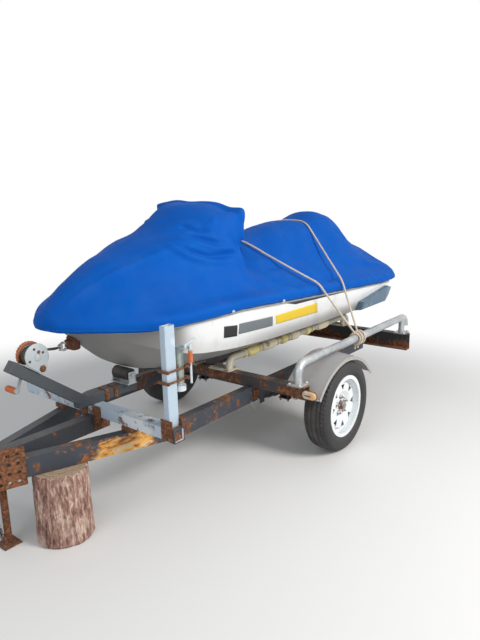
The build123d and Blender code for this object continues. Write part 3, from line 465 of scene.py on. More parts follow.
paints = dict(
    # colour, roughness, metal, scale and amount of rust, worn edges, dust, drift of tone, pits in mm,
    # tone, scale and threshold of spots
    frameDark=((.038, .044, .054), .55, 0, (9, .4), .8, .15, .2, 1),
    railPaint=((.034, .042, .056), .52, 0, (6.5, .46), .8, .12, .2, 1),
    mastPaint=((.05, .06, .072), .55, 0, (10, .26), .7, .12, .15, .6),
    crossRust=((.05, .044, .048), .6, 0, (7, .62), .8, .35, .3, 1.2),
    deepRust=((.21, .075, .032), .85, 0, (14, .85), .2, .25, .35, 1.8),
    barPaint=((.46, .56, .66), .42, 0, (7.5, .52), 1, .1, .08, .6, ((.64, .69, .73), 7, .55)),
    postPaint=((.44, .54, .64), .42, 0, (9, .24), .8, .06, .08, .6, ((.6, .66, .72), 7, .55)),
    fenderPaint=((.33, .325, .33), .42, 0, (7, .22), .7, .15, .1, .6, ((.26, .215, .2), 4, .62)),
    # fender beads: paler than the fender, a painted highlight along its rolled edge
    fenderEdge=((.42, .41, .4), .45, 0, (14, .3), .5, .3, .12, .6),
    bunkPaint=((.62, .58, .47), .5, 0, (10, .34), .9, .2, .08, .6),
    rimPaint=((.76, .8, .82), .25, 0, (16, .16), .25, .12, .03, .6, ((.42, .38, .32), 9, .66)),
    hubSteel=((.34, .34, .34), .5, .8, (16, .42), .5, .3, .12, .6),
    nutSteel=((.36, .35, .34), .42, 1, (22, .45), .3, .2, .12, .6),
    pumpAlloy=((.4, .41, .42), .45, .85, (10, .05), .3, .25, .12, .6),
    jackPaint=((.36, .42, .39), .5, 0, (12, .3), .8, .25, .12, .6),
    rodPaint=((.6, .66, .7), .45, 0, (16, .24), .8, .08, .12, .6),
    # sponson: its dark blue-grey is painted shade of the recessed stern sides
    sponsonPlastic=((.085, .155, .23), .5, 0, (9, 0), .15, .35, .14, .6, ((.2, .26, .32), 6, .58)),
    rollerBlack=((.022, .022, .024), .6, 0, (9, .1), .4, .5, .12, .6),
    rollerYellow=((.95, .78, .34), .5, 0, (12, .03), 0, .12, .12, .6, ((.48, .38, .22), 18, .64)),
    rollerCream=((.9, .8, .58), .55, 0, (12, .03), 0, .12, .12, .6, ((.42, .34, .24), 16, .62)),
    orangeGrip=((.6, .135, .025), .55, 0, (18, .25), .5, .25, .15, .6),
    engineBlock=((.05, .05, .05), .6, 0, (9, .2), .5, .2, .12, .6),
    stickerFilm=((.018, .018, .02), .42, 0, (8, 0), 0, .35, .12, .6),
    plateFilm=((.16, .18, .2), .38, 0, (8, 0), 0, .4, .12, .6),
    stripeFilm=((.8, .56, .02), .35, 0, (8, 0), 0, .2, .12, .6),
    railRubber=((.34, .35, .36), .5, 0, (8, 0), 0, .35, .12, .6),
    snapMetal=((.62, .63, .64), .3, 1, (20, .15), 0, .1, .12, .6),
    boltZinc=((.55, .53, .5), .4, .9, (20, .4), .4, .2, .12, .6),
    boltRust=((.26, .075, .045), .8, 0, (40, .8), .2, .3, .12, .6),
    gearRust=((.42, .105, .032), .6, 0, (15, .45), .8, .2, .25, .6),
    cheekZinc=((.42, .46, .48), .42, 0, (9, .22), .3, .12, .3, .6),
    eyeRust=((.1, .035, .022), .8, 0, (16, .6), .2, .2, .12, .6),
    wirePale=((.34, .31, .27), .5, .4, (20, .45), .2, .3, .12, .6),
)
paint = {name: coated(name, *look) for name, look in paints.items()}
print("shader groups and paints made")


# Cover

cover = dict(
    # forward of the axle, ridge height, upper half width and height, crease half width and height,
    # waist half width and height, hem half width
    stations=[
        (-1.335, 1.085, .12, 1.080, .20, 1.045, .42, .925, .455),
        (-1.25, 1.113, .12, 1.106, .20, 1.062, .43, .93, .475),
        (-1.12, 1.190, .10, 1.180, .20, 1.110, .44, .935, .492),
        (-1.02, 1.268, .09, 1.256, .18, 1.180, .44, .94, .500),
        (-.95, 1.330, .08, 1.320, .165, 1.260, .44, .94, .503),
        (-.865, 1.356, .08, 1.344, .165, 1.295, .44, .945, .505),
        (-.75, 1.366, .08, 1.358, .165, 1.315, .44, .95, .508),
        (-.64, 1.335, .08, 1.329, .165, 1.292, .44, .955, .508),
        (-.567, 1.303, .08, 1.303, .16, 1.275, .44, .96, .508),
        (-.49, 1.316, .08, 1.312, .165, 1.275, .44, .963, .508),
        (-.382, 1.315, .08, 1.309, .165, 1.265, .44, .967, .508),
        (-.231, 1.293, .08, 1.287, .165, 1.240, .44, .973, .508),
        (-.119, 1.272, .08, 1.264, .165, 1.215, .44, .977, .508),
        (.02, 1.245, .08, 1.236, .165, 1.185, .44, .983, .508),
        (.15, 1.215, .085, 1.205, .17, 1.160, .44, .99, .508),
        (.34, 1.212, .10, 1.200, .19, 1.150, .43, 1.0, .508),
        (.395, 1.444, .310, 1.405, .330, 1.182, .43, 1.0, .508),
        (.455, 1.458, .318, 1.405, .345, 1.190, .43, 1.0, .508),
        (.52, 1.460, .322, 1.388, .350, 1.197, .43, 1.005, .508),
        (.60, 1.445, .28, 1.372, .335, 1.21, .43, 1.005, .507),
        (.68, 1.395, .21, 1.340, .30, 1.232, .425, 1.005, .50),
        (.79, 1.325, .13, 1.300, .247, 1.250, .42, 1.005, .487),
        (.90, 1.278, .11, 1.262, .205, 1.228, .41, 1.005, .473),
        (1.0, 1.238, .10, 1.225, .176, 1.190, .39, 1.0, .45),
        (1.10, 1.203, .085, 1.192, .150, 1.156, .350, .995, .414),
        (1.20, 1.155, .07, 1.145, .120, 1.114, .305, .990, .346),
        (1.29, 1.098, .048, 1.091, .090, 1.070, .238, .985, .264),
        (1.36, 1.042, .040, 1.035, .074, 1.018, .160, .979, .178),
        (1.405, 1.002, .032, .996, .056, .986, .100, .969, .110),
    ],
    # lift of the fold, its half width, then its line: forward of the axle, out, up
    folds=[
        (.010, .020, (.78, .09, 1.32), (.72, .14, 1.34), (.68, .18, 1.35), (.65, .23, 1.34)),
        (-.018, .010, (.70, .18, 1.335), (.67, .24, 1.31), (.62, .28, 1.31)),
        (.014, .014, (.62, .26, 1.33), (.58, .28, 1.34), (.56, .27, 1.37)),
        (-.008, .011, (.60, .22, 1.38), (.54, .29, 1.36), (.48, .31, 1.37), (.40, .33, 1.35)),
        (.006, .016, (.60, .25, 1.36), (.54, .30, 1.35), (.44, .33, 1.325)),
        (.007, .014, (.71, .21, 1.31), (.65, .27, 1.29), (.58, .32, 1.265)),
        (-.012, .011, (.74, .22, 1.29), (.66, .28, 1.27), (.60, .32, 1.25)),
        (.014, .015, (.76, .22, 1.28), (.69, .29, 1.255), (.62, .33, 1.225), (.50, .35, 1.215)),
        (-.019, .013, (.81, .23, 1.26), (.74, .29, 1.22), (.66, .33, 1.19), (.50, .36, 1.185)),
        (.012, .017, (.84, .22, 1.25), (.78, .29, 1.20), (.68, .335, 1.165), (.58, .36, 1.15)),
        (-.007, .016, (.87, .23, 1.23), (.81, .29, 1.18), (.72, .34, 1.14)),
        (.007, .014, (.54, .30, 1.35), (.565, .31, 1.28), (.52, .34, 1.23)),
        (-.006, .012, (.50, .32, 1.35), (.52, .33, 1.28), (.47, .345, 1.22)),
        (-.012, .020, (.48, .38, 1.11), (.20, .39, 1.02), (.11, .47, .97)),
        (.009, .026, (.45, .39, 1.08), (.27, .43, 1.0), (.20, .50, .96)),
        (-.006, .022, (.45, .37, 1.13), (.10, .31, 1.07), (-.06, .31, 1.07)),
        (-.013, .020, (-.10, .40, 1.01), (-.27, .46, .96), (-.43, .45, .955)),
        (.006, .024, (-.16, .37, 1.03), (-.33, .42, .985), (-.47, .41, .985)),
        (-.008, .026, (-.58, .38, 1.02), (-1.04, .41, .96), (-1.26, .45, .915)),
        (.006, .026, (-.75, .35, 1.05), (-1.03, .38, .99), (-1.28, .40, .95)),
        (.010, .010, (.62, .21, 1.385), (.54, .29, 1.395), (.46, .325, 1.405), (.40, .325, 1.405)),
        (.009, .011, (.405, .315, 1.39), (.400, .325, 1.32), (.405, .335, 1.22)),
        (.005, .016, (1.36, .075, 1.032), (1.20, .118, 1.122), (1.0, .176, 1.19), (.79, .247, 1.252),
         (.70, .29, 1.24)),
        (.005, .020, (.30, .22, 1.14), (.10, .25, 1.10), (-.12, .25, 1.12)),
        (-.005, .020, (-.62, .14, 1.30), (-.80, .22, 1.23), (-.98, .28, 1.12)),
    ],
    farShift=-.035, farShare=.5,
    # grips that push into the cloth: width, place, push
    grips=[
        (.060, (.43, .24, 1.435), (0, 0, -.024)), (.030, (.392, .322, 1.400), (-.004, .006, .010)),
        (.050, (.39, .350, 1.315), (.004, -.018, 0)), (.050, (.39, .350, 1.24), (.004, -.012, 0)),
        (.050, (.385, .350, 1.205), (.032, -.016, 0)), (.045, (.36, .390, 1.150), (.022, -.010, 0)),
        (.040, (.455, -.300, 1.410), (-.012, .020, -.014)), (.020, (.437, -.266, 1.440), (.004, -.012, .006)),
    ],
    crease=1.25, noseDepth=.034, noseStart=.60, noseRows=22, farNarrow=.03, hang=.10, sternDepth=.035,
    rollProud=.008, rollHeight=.035, hemDrop=.008, tuck=.022, sag=.006, barTurn=.07, columns=201, rowsPer=12,
    ripple=.0004, gather=.0012, seed=11, hemRadius=.0065,
)


def hemHeight(fromAxle):
    # hem line: rises forward to the knee, then falls a little to the bow
    aft = .8407 + (fromAxle + 1.32) * .0495
    fore = .9357 - (fromAxle - .6) * .042 + .022 * smoothStep(1.15, 1.42, fromAxle)
    return np.where(fromAxle < .6, aft, fore)


def smoothRows(control, columns):
    # centripetal smooth curve through every row of control points, mirrored to starboard
    full = np.concatenate((control[:, :0:-1] * (-1, 1), control), 1)
    run = np.diff(full, axis=1)
    knots = np.concatenate((np.zeros((len(full), 1)), np.cumsum(np.linalg.norm(run, axis=2) ** .5, 1)), 1)
    at = np.linspace(0, 1, columns)[None] * knots[:, -1:]
    cell = np.clip((at[:, :, None] >= knots[:, None, 1:-1]).sum(-1), 0, full.shape[1] - 2)
    width = np.diff(knots, axis=1)[:, :, None]
    chord = run / width
    middle = (chord[:, 1:] * width[:, :-1] + chord[:, :-1] * width[:, 1:]) / (width[:, 1:] + width[:, :-1])
    slope = np.concatenate((chord[:, :1], middle, chord[:, -1:]), 1)

    def pick(values, shift=0):
        return np.take_along_axis(values, (cell + shift)[..., None], 1)

    span = pick(width)
    t = (at[..., None] - pick(knots[..., None])) / span
    return cubic(t, pick(full), pick(full, 1), span * pick(slope), span * pick(slope, 1))


def lineDistance(points, line):
    # distance of every point from a line of straight runs, and its share of the way along
    best, share = np.full(points.shape[:-1], 9.0), np.zeros(points.shape[:-1])
    for index, (start, end) in enumerate(zip(line[:-1], line[1:])):
        run = end - start
        t = np.clip(((points - start) @ run) / (run @ run), 0, 1)
        gap = np.linalg.norm(points - start - t[..., None] * run, axis=-1)
        share = np.where(gap < best, (index + t) / (len(line) - 1), share)
        best = np.minimum(best, gap)
    return best, share


def coverSurface():
    # rows along X from the stations, nose rows shrunk to a point, stern rows let down to the hem
    table = np.array(cover["stations"])
    x = table[:, 0]
    rows = [np.linspace(a, b, cover["rowsPer"], endpoint=False) for a, b in zip(x[:-1], x[1:])]
    rows = np.concatenate(rows + [x[-1:]])
    first = cover["noseStart"]
    turn = np.linspace(first, np.pi / 2, cover["noseRows"])[1:]
    cap = np.concatenate((0 * rows, (np.sin(turn) - np.sin(first)) / (1 - np.sin(first))))
    narrow = np.concatenate((np.ones(len(rows)), np.cos(turn) / np.cos(first)))
    read = np.concatenate((rows, np.full(len(turn), x[-1])))
    ridge, upY, upZ, creaseY, creaseZ, waistY, waistZ, hemY = hermite(x, table[:, 1:], read).T
    hemZ = hemHeight(read)
    hemLow = hemZ - cover["hemDrop"]
    # below the hood the cloth hangs straight: its middle follows the crease only slowly
    near = np.exp(-((read[:, None] - read) / cover["hang"]) ** 2) * np.gradient(read)
    near /= near.sum(1, keepdims=True)
    straight = smoothStep(1.2, 1.0, read)
    middle = [(crease + straight * (near @ crease - crease) + waist) / 2 - cover["sag"] * straight
              for crease, waist in ((creaseY, waistY), (creaseZ, waistZ))]
    rollZ = hemZ + cover["rollHeight"] * (1 - .5 * smoothStep(1.1, 1.36, read))
    control = np.stack([np.stack(pair, -1) for pair in (
        (0 * ridge, ridge), (upY, upZ), (creaseY, creaseZ), middle, (waistY, waistZ),
        (hemY + cover["rollProud"], rollZ), (hemY, hemLow + .002), (hemY - cover["tuck"], hemLow))], 1)
    section = smoothRows(control, cover["columns"])
    # nose: rows narrow to the middle and bulge forward, most just above the hem, which turns in below
    share = np.clip((section[..., 1] - hemZ[:, None]) / (ridge - hemZ)[:, None], 0, 1)
    inward = np.clip((hemY[:, None] - abs(section[..., 0])) / cover["tuck"], 0, 1)
    bulge = cover["noseDepth"] * np.sin(.64 * np.pi * (1 - share))
    bulge -= cover["tuck"] * inward * (section[..., 1] < hemZ[:, None])
    along = read[:, None] + bulge * cap[:, None]
    section[..., 0] *= narrow[:, None]
    drop = np.linspace(0, 1, cover["noseRows"])[1:][:, None]
    curtain = np.stack((section[0, :, 0] * (1 - .07 * drop ** 2),
                        hemLow[0] + (section[0, :, 1] - hemLow[0]) * (1 - drop)), -1)
    curtainX = x[0] - cover["sternDepth"] * (1 - (1 - drop) ** 3) + 0 * curtain[..., 0]
    along = np.concatenate((curtainX[::-1], along))
    y, z = np.moveaxis(np.concatenate((curtain[::-1], section)), -1, 0)
    # handlebars turned a little, the far grip lower, a notch behind it
    bar = smoothStep(.75, .55, along) * smoothStep(.345, .405, along)
    along = along - cover["barTurn"] * y * bar * smoothStep(1.0, 1.2, z)
    slimmer = .12 * bar * smoothStep(1.02, 1.2, z) + cover["farNarrow"] * smoothStep(.95, 1.25, along)
    y = y * (1 - slimmer * (y < 0))
    rise = -.06 * y * bar * smoothStep(1.2, 1.38, z) - .010 * gauss(y, -.03, .07) * bar
    sink = .10 * gauss(along, .61, .12) * smoothStep(.06, .2, -y) * smoothStep(1.18, 1.32, z)
    points = np.stack((along, y, z + rise - sink), -1)
    for width, place, push in cover["grips"]:
        gap = np.linalg.norm(points - place, axis=-1, keepdims=True)
        points = points + np.array(push) * gauss(gap, 0, width)
    return points


def foldCover(points):
    # folds stand off the surface as bells across their lines, thin out to the ends
    normal = unit(np.cross(np.gradient(points, axis=0), np.gradient(points, axis=1)))
    normal *= np.sign(normal[:, points.shape[1] // 2, 2].mean())
    lift = np.zeros(points.shape[:2])
    for side, share, shift in ((1, 1, 0), (-1, cover["farShare"], cover["farShift"])):
        for height, width, *line in cover["folds"]:
            gap, along = lineDistance(points, np.array(line) * (1, side, 1) + (shift, 0, 0))
            taper = np.sin(np.pi * np.clip(.08 + .84 * along, 0, 1)) ** .6
            lift += share * height * cover["crease"] * gauss(gap, 0, width) * taper
    # ripples: waves of falling length in every direction, and a gathered hem
    dice = np.random.default_rng(cover["seed"])
    for reach in (.30, .17, .10, .06):
        for _ in range(5):
            way = unit(dice.normal(size=3)) * 2 * np.pi / reach
            lift += cover["ripple"] * (reach / .17) ** .8 * np.sin(points @ way + dice.uniform(0, 6.3))
    x, y, z = np.moveaxis(points, -1, 0)
    lift *= smoothStep(1.42, 1.34, x)
    gathers = np.sin(x * 46 + 2.2 * np.sin(x * 7.3) + y * 8)
    lift += cover["gather"] * gathers * gauss(z - hemHeight(x), .03, .05)
    return points + normal * lift[..., None]


def makeCover(material):
    points = foldCover(coverSurface()) + (axleX, 0, 0)
    rows, columns = points.shape[:2]
    step = np.linalg.norm(np.diff(points, axis=1), axis=2)
    girth = np.concatenate((np.zeros((rows, 1)), np.cumsum(step, 1)), 1)
    uv = np.stack((points[..., 0], np.minimum(girth, girth[:, -1:] - girth)), -1)
    faces = gridFaces(rows, columns)[:, ::-1]
    piece = meshFrom("cover_cloth", points.reshape(-1, 3), faces, uv=uv.reshape(-1, 2))
    merged(piece, 1e-5, outward=False)
    if piece.data.polygons[len(piece.data.polygons) // 2].normal.z < 0:
        piece.data.flip_normals()
    placed(piece, material, "cover_fabric", "cover")
    # the gathered hem: a cord sewn in along the whole edge
    sides = points[cover["noseRows"] - 1:]
    edge = np.concatenate((sides[:, -1], sides[::-1, 0], points[0, 1:-1:6]))
    edge = edge[np.linalg.norm(edge - np.roll(edge, 1, 0), axis=1) > 1e-4]
    hem = joined("cover_hem", [tube(edge, cover["hemRadius"], 8, guide=(0, 0, 1), closed=True)])
    placed(hem, material, "cover_fabric")


def clothFinish():
    material, look, place = newMaterial("coverCloth")
    uv = node(place.id_data, "UVMap", uv_map="UVMap").outputs[0]
    chalk = patches(place, .52, .8, 5.5, 6, .68)
    blue = over((.0003, .079, .40), (.0008, .110, .50), noise(place, 2.3, 5, .6))
    blue = over(blue, (.03, .20, .60), chalk, .16)
    blue = over(blue, (.004, .07, .24), patches(place, .60, .74, 1.7, 6, .72, .6), .25)
    # stitched seam along the hem
    fromEdge = part(uv, "Y")
    seam = times(spread(fromEdge, .026, .029), spread(fromEdge, .034, .031))
    stitch = math("GREATER_THAN", math("SINE", times(part(uv, "X"), 900.0)), -.2)
    weave = use(threadWeave, uv, Threads=310.0)
    blue = over(blue, (.002, .045, .27), weave["Shade"], .12)
    blue = over(blue, (.03, .16, .55), times(seam, stitch), .6)
    blue = dusted(place, blue, .03)[0]
    crease = math("ABSOLUTE", minus(noise(place, 9.0, 2, .5, 1.4), .5))
    height = plus(times(noise(place, 16.0, 3, .5, .9), .35), times(crease, .5))
    height = minus(plus(height, times(weave["Height"], .05)), times(seam, .25))
    finish(look, height, .5, .006, colour=blue, rough=blend(chalk, .66, .80), shine=.08)
    return material


makeCover(clothFinish())
print("cover made")


# Hull

hull = dict(
    # forward of the axle, keel rise above the flat keel, chine half width and rise, sheer half width
    stations=[
        (-1.25, 0, .405, .150, .455), (-.70, 0, .412, .152, .476), (-.10, 0, .412, .158, .480),
        (.40, .002, .410, .172, .480), (.70, .038, .402, .194, .470), (.90, .082, .375, .222, .446),
        (1.05, .145, .318, .270, .405), (1.16, .212, .240, .314, .335), (1.25, .296, .130, .346, .215),
        (1.315, .362, .030, .368, .060),
    ],
    rows=150, tunnelFront=-.85, tunnelHalf=.115, tunnelRoof=.190, intakeFront=-.60, intakeHalf=.062,
    intakeRoof=.070, belly=.010, lip=.006, sheerDrop=.006,
)
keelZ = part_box("hull")[0].z


def splitHeight(fromAxle):
    # joint of hull and cover, the lines that part.py has
    aft = .323 + (fromAxle + 1.32) / 1.92 * .095
    fore = .418 - (fromAxle - .6) / .78 * .021
    return keelZ + np.where(fromAxle < .6, aft, fore)


def hullLines(x):
    # keel height, chine half width and height, sheer half width and height at places along X
    table = np.array(hull["stations"])
    keel, chineY, chine, sheerY = np.moveaxis(hermite(table[:, 0], table[:, 1:], x.ravel()), -1, 0)
    lines = keelZ + keel, chineY, keelZ + chine, sheerY, splitHeight(x.ravel()) - hull["sheerDrop"]
    return [line.reshape(x.shape) for line in lines]


def hullSide(x, share, proud=0.0):
    # point on the port topside: share 0 at the chine, 1 at the sheer
    x, share = np.broadcast_arrays(np.asarray(x, float), np.asarray(share, float))
    _, chineY, chineZ, sheerY, sheerZ = hullLines(x)
    bow = .018 * np.sin(np.pi * share) * smoothStep(1.3, .2, x)
    y = chineY + hull["lip"] + (sheerY - chineY - hull["lip"]) * share + bow * .5
    return np.stack((x + axleX, y + proud, chineZ + (sheerZ - chineZ) * share), -1)


def makeHull(material):
    # closed loops of equal count: bottom from the middle out, chine, topside, then back along the deck
    x = np.linspace(hull["stations"][0][0], hull["stations"][-1][0], hull["rows"])
    tunnel, intake = hull["tunnelFront"], hull["intakeFront"]
    x = np.sort(np.concatenate((x, (tunnel, tunnel, intake, intake))))
    order = np.arange(len(x))
    inTunnel = (x < tunnel) | (order == np.searchsorted(x, tunnel))
    inIntake = ~inTunnel & ((x < intake) | (order == np.searchsorted(x, intake)))
    keel, chineY, chineZ, sheerY, sheerZ = [line[:, None] for line in hullLines(x)]
    half = np.where(inTunnel, hull["tunnelHalf"], np.where(inIntake, hull["intakeHalf"], 0))[:, None]
    roof = keelZ + np.where(inTunnel, hull["tunnelRoof"], hull["intakeRoof"])[:, None]

    def bottom(y):
        share = np.clip(y / chineY, 0, 1)
        return keel + (chineZ - keel) * share - hull["belly"] * np.sin(np.pi * share)

    t8, t20, t16 = np.linspace(0, 1, 8), np.linspace(0, 1, 20)[1:], np.linspace(0, 1, 17)[:-1]
    plainY = np.concatenate((t8, 1 + t8)) / 2 * .04 * np.minimum(1, chineY / .2)
    notchY = np.concatenate((half * t8, half * np.ones(8)), 1)
    notchZ = np.concatenate((roof * np.ones(8), roof + (bottom(half) - roof) * t8), 1)
    innerY, innerZ = np.where(half > 0, notchY, plainY), np.where(half > 0, notchZ, bottom(plainY))
    outerY = innerY[:, -1:] + (chineY - innerY[:, -1:]) * t20
    lowerY, lowerZ = np.concatenate((innerY, outerY), 1), np.concatenate((innerZ, bottom(outerY)), 1)
    lower = np.stack((x[:, None] + axleX + 0 * lowerY, lowerY, lowerZ), -1)
    top = np.stack((x[:, None] + axleX, sheerY, sheerZ), -1)
    port = np.concatenate((lower, hullSide(x[:, None], t16), top), 1)
    deck = port[:, ::-1].copy()
    deck[..., 2] = sheerZ
    loop = np.concatenate((port, deck), 1)
    count = port.shape[1]
    ladder, back = np.arange(count - 1), 2 * count - 1
    ends = np.stack((ladder, ladder + 1, back - ladder - 1, back - ladder), -1)
    skins = loop, loop * (1, -1, 1)
    parts = [gridPiece(skin) for skin in skins] + [(skin[row], ends) for skin in skins for row in (0, -1)]
    piece = joined("hull_shell", parts)
    piece.modifiers.new("edges", "EDGE_SPLIT").split_angle = np.radians(32)
    placed(piece, material, "gelcoat_white", "hull")


def gelcoatFinish():
    material, look, place = newMaterial("hullGelcoat")
    # what faces down is painted dark grey: painted shade of the hull's underside
    facesDownShade = spread(facing(place.id_data, "Z"), -.30, -.42)
    white = over((.76, .78, .79), (.86, .87, .87), noise(place, 4.0, 5, .6))
    grey = over((.20, .20, .20), (.30, .29, .28), noise(place, 3.0, 5, .6))
    colour = over(white, grey, facesDownShade)
    # water runs, and darker towards the keel
    runs = patches(mapped(place, scale=(30, 30, 2.5)), .55, .75, 1.0, 4, .6)
    colour = over(colour, (.36, .33, .27), runs, .20)
    colour = over(colour, (.12, .11, .10), spread(part(place, "Z"), keelZ + .02, keelZ - .05))
    colour = dusted(place, colour, .12)[0]
    finish(look, noise(place, 38.0, 5, .7), .15, .0006, colour=colour, rough=blend(facesDownShade, .26, .55),
           coat=.25, coatRough=.2)
    return material


makeHull(gelcoatFinish())
print("hull made")


# What the hull carries on its sides

sideMarks = dict(
    # corners: forward of the axle and share of the topside, from its low aft corner round
    sticker=("stickerFilm", (.600, .30), (.700, .32), (.715, .62), (.616, .58)),
    plate=("plateFilm", (.297, .36), (.592, .34), (.603, .60), (.318, .62)),
    stripe=("stripeFilm", (-.185, .40), (.262, .38), (.290, .62), (-.150, .70)),
    # black film along the sheer under the hem: painted shadow of the cover's hem
    hemShadowFilm=("stickerFilm", (-.60, .86), (.10, .80), (.34, .99), (-.86, .99)),
)
rail = dict(lift=.0012, radius=.0085, height=-.017, proud=.002, knob=(.676, .93),
            snaps=((.702, .504, .929), (.278, .515, .916)))


def sidePatch(corners, side):
    # thin closed patch on the topside, bilinear between its corners, its far face sunk in the hull
    u, v = np.linspace(0, 1, 41)[:, None, None], np.linspace(0, 1, 9)[None, :, None]
    a, b, c, d = np.array(corners)
    x, share = np.moveaxis(a * (1 - u) * (1 - v) + b * u * (1 - v) + c * u * v + d * (1 - u) * v, -1, 0)
    faces = hullSide(x, share, rail["lift"]), hullSide(x, share, -rail["lift"])[:, ::-1]
    return capped(np.concatenate(faces, 1) * (1, side, 1))


def makeSideMarks():
    for name, (film, *corners) in sideMarks.items():
        patches = [sidePatch(corners, side) for side in (1, -1)]
        put(f"hull_{name}", patches, paint[film], "gelcoat_white")
    # rub rail: a round strip under the hem, from quarter to quarter round the bow
    strip = hullSide(np.linspace(-1.24, 1.31, 120), 1.0) + (0, rail["proud"], rail["height"])
    ring = np.concatenate((strip, (strip * (1, -1, 1))[::-1]))
    put("hull_rub_rail", [tube(ring, rail["radius"], 10, guide=(0, 0, 1))], paint["railRubber"],
        "gelcoat_white")
    # knobs, and the snaps that close the skirt of the cover
    knobs, snaps = [], []
    button = [(0, 0), (0, .011), (.009, .011), (.013, .007), (.013, 0)]
    snap = [(-.004, 0), (-.004, .0095), (.002, .0095), (.002, .006), (.0055, .006), (.0055, 0)]
    for side in (1, -1):
        knobs.append(turned(button, hullSide(*rail["knob"]) * (1, side, 1), (0, side, 0), 20))
        snaps += [turned(snap, (axleX + x, side * y, z), (0, side, .15), 20) for x, y, z in rail["snaps"]]
    put("hull_knobs", knobs, paint["railRubber"], "gelcoat_white")
    put("cover_snaps", snaps, paint["snapMetal"], "cover_fabric")


makeSideMarks()
print("hull marks made")


# Tie ropes

ropes = dict(
    radius=.0065, lay=.042, strands=3, tubeRadius=.024, turns=2.15,
    # control points to port, from the ridge out to the knot on the guide tube
    tie_rope_rear=[(-.967, .085, 1.314), (-.928, .170, 1.288), (-.906, .222, 1.235), (-.799, .467, .998),
                   (-.773, .524, .947), (-.772, .549, .873), (-.762, .6441, .6257)],
    tie_rope_front=[(-.279, .085, 1.231), (-.309, .186, 1.181), (-.338, .245, 1.140), (-.449, .461, 1.004),
                    (-.482, .524, .968), (-.524, .543, .905), (-.725, .6446, .6259)],
)


def splinePath(points, name):
    # points read back from the route's NURBS curve
    curve = bpy.data.curves.new(name, "CURVE")
    curve.dimensions = "3D"
    spline = curve.splines.new("NURBS")
    spline.points.add(len(points) - 1)
    spline.points.foreach_set("co", np.hstack((points, np.ones((len(points), 1)))).ravel())
    spline.order_u = 3
    spline.use_endpoint_u = True
    spline.resolution_u = 90
    holder = bpy.data.objects.new(name, curve)
    mesh = bpy.data.meshes.new_from_object(holder)
    path = np.empty(len(mesh.vertices) * 3, np.float32)
    mesh.vertices.foreach_get("co", path)
    bpy.data.objects.remove(holder)
    bpy.data.curves.remove(curve)
    bpy.data.meshes.remove(mesh)
    return path.reshape(-1, 3).astype(float)


def makeRopes():
    material, look, place = newMaterial("ropeFibre")
    hairs = noise(place, 420.0, 3, .7)
    tone = over((.42, .34, .27), (.78, .68, .57), hairs)
    tone = over(tone, (.28, .22, .17), patches(place, .42, .7, 9.0, 4, .6), .35)
    finish(look, hairs, .6, .0012, colour=tone, rough=.92, sheen=.25)
    low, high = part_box("guide_tube_left")
    guideY, guideZ = (low.y + high.y) / 2, high.z - ropes["tubeRadius"]
    radius, turns = ropes["radius"], ropes["turns"]
    laid = dict(lobes=ropes["strands"], twist=2 * np.pi / ropes["lay"])
    for name in ("tie_rope_rear", "tie_rope_front"):
        port = np.array(ropes[name])
        parts = [tube(splinePath(np.concatenate((port[::-1] * (1, -1, 1), port)), name), radius, 18, **laid)]
        for side in (1, -1):
            # hitch: turns round the guide tube, one that crosses them, and the rope's tail
            knot = port[-1] * (1, side, 1)
            middle = np.array((knot[0], side * guideY, guideZ))
            wrap = ropes["tubeRadius"] + radius + .0003
            t = np.linspace(0, 1, 160)[:, None]
            start = np.arctan2(knot[2] - guideZ, side * (knot[1] - side * guideY))
            turn = start + 2 * np.pi * turns * t
            coil = middle + np.hstack((radius * 2.1 * turns * (t - .5), side * wrap * np.cos(turn),
                                       wrap * np.sin(turn)))
            turn = start + .3 + 2.6 * np.pi * t
            proud = wrap + radius * 1.5 * np.sin(np.pi * t) ** .5
            cross = middle + np.hstack((radius * 5.2 * (.5 - t), side * proud * np.cos(turn),
                                        proud * np.sin(turn)))
            tail = cross[-1] + np.hstack((radius * 3 * t, side * .010 * t, -.035 * t ** 1.5 - .012 * t))
            parts += [tube(path, radius, 14, **laid) for path in (coil, cross, tail)]
        put(name + "_laid", parts, material, "rope_fibre", name)


makeRopes()
print("ropes made")


# Wheels

wheel = dict(
    # half of the tyre's outline: out from its middle plane, distance from the axle
    outline=[(0, .2700), (.030, .2692), (.050, .2664), (.0605, .2625), (.0690, .2530), (.0752, .2370),
             (.0772, .2210), (.0755, .2060), (.0690, .1950), (.0590, .1862), (.0567, .1800), (.0567, .1655)],
    grooves=(.016, .040), grooveHalf=.0026, grooveDepth=.006, zigzag=.0022, pitches=64, steps=512,
    nutRing=.050, nutRadius=.0098, nuts=5, nutOut=.024, valveRing=.131, valveOut=.030,
)


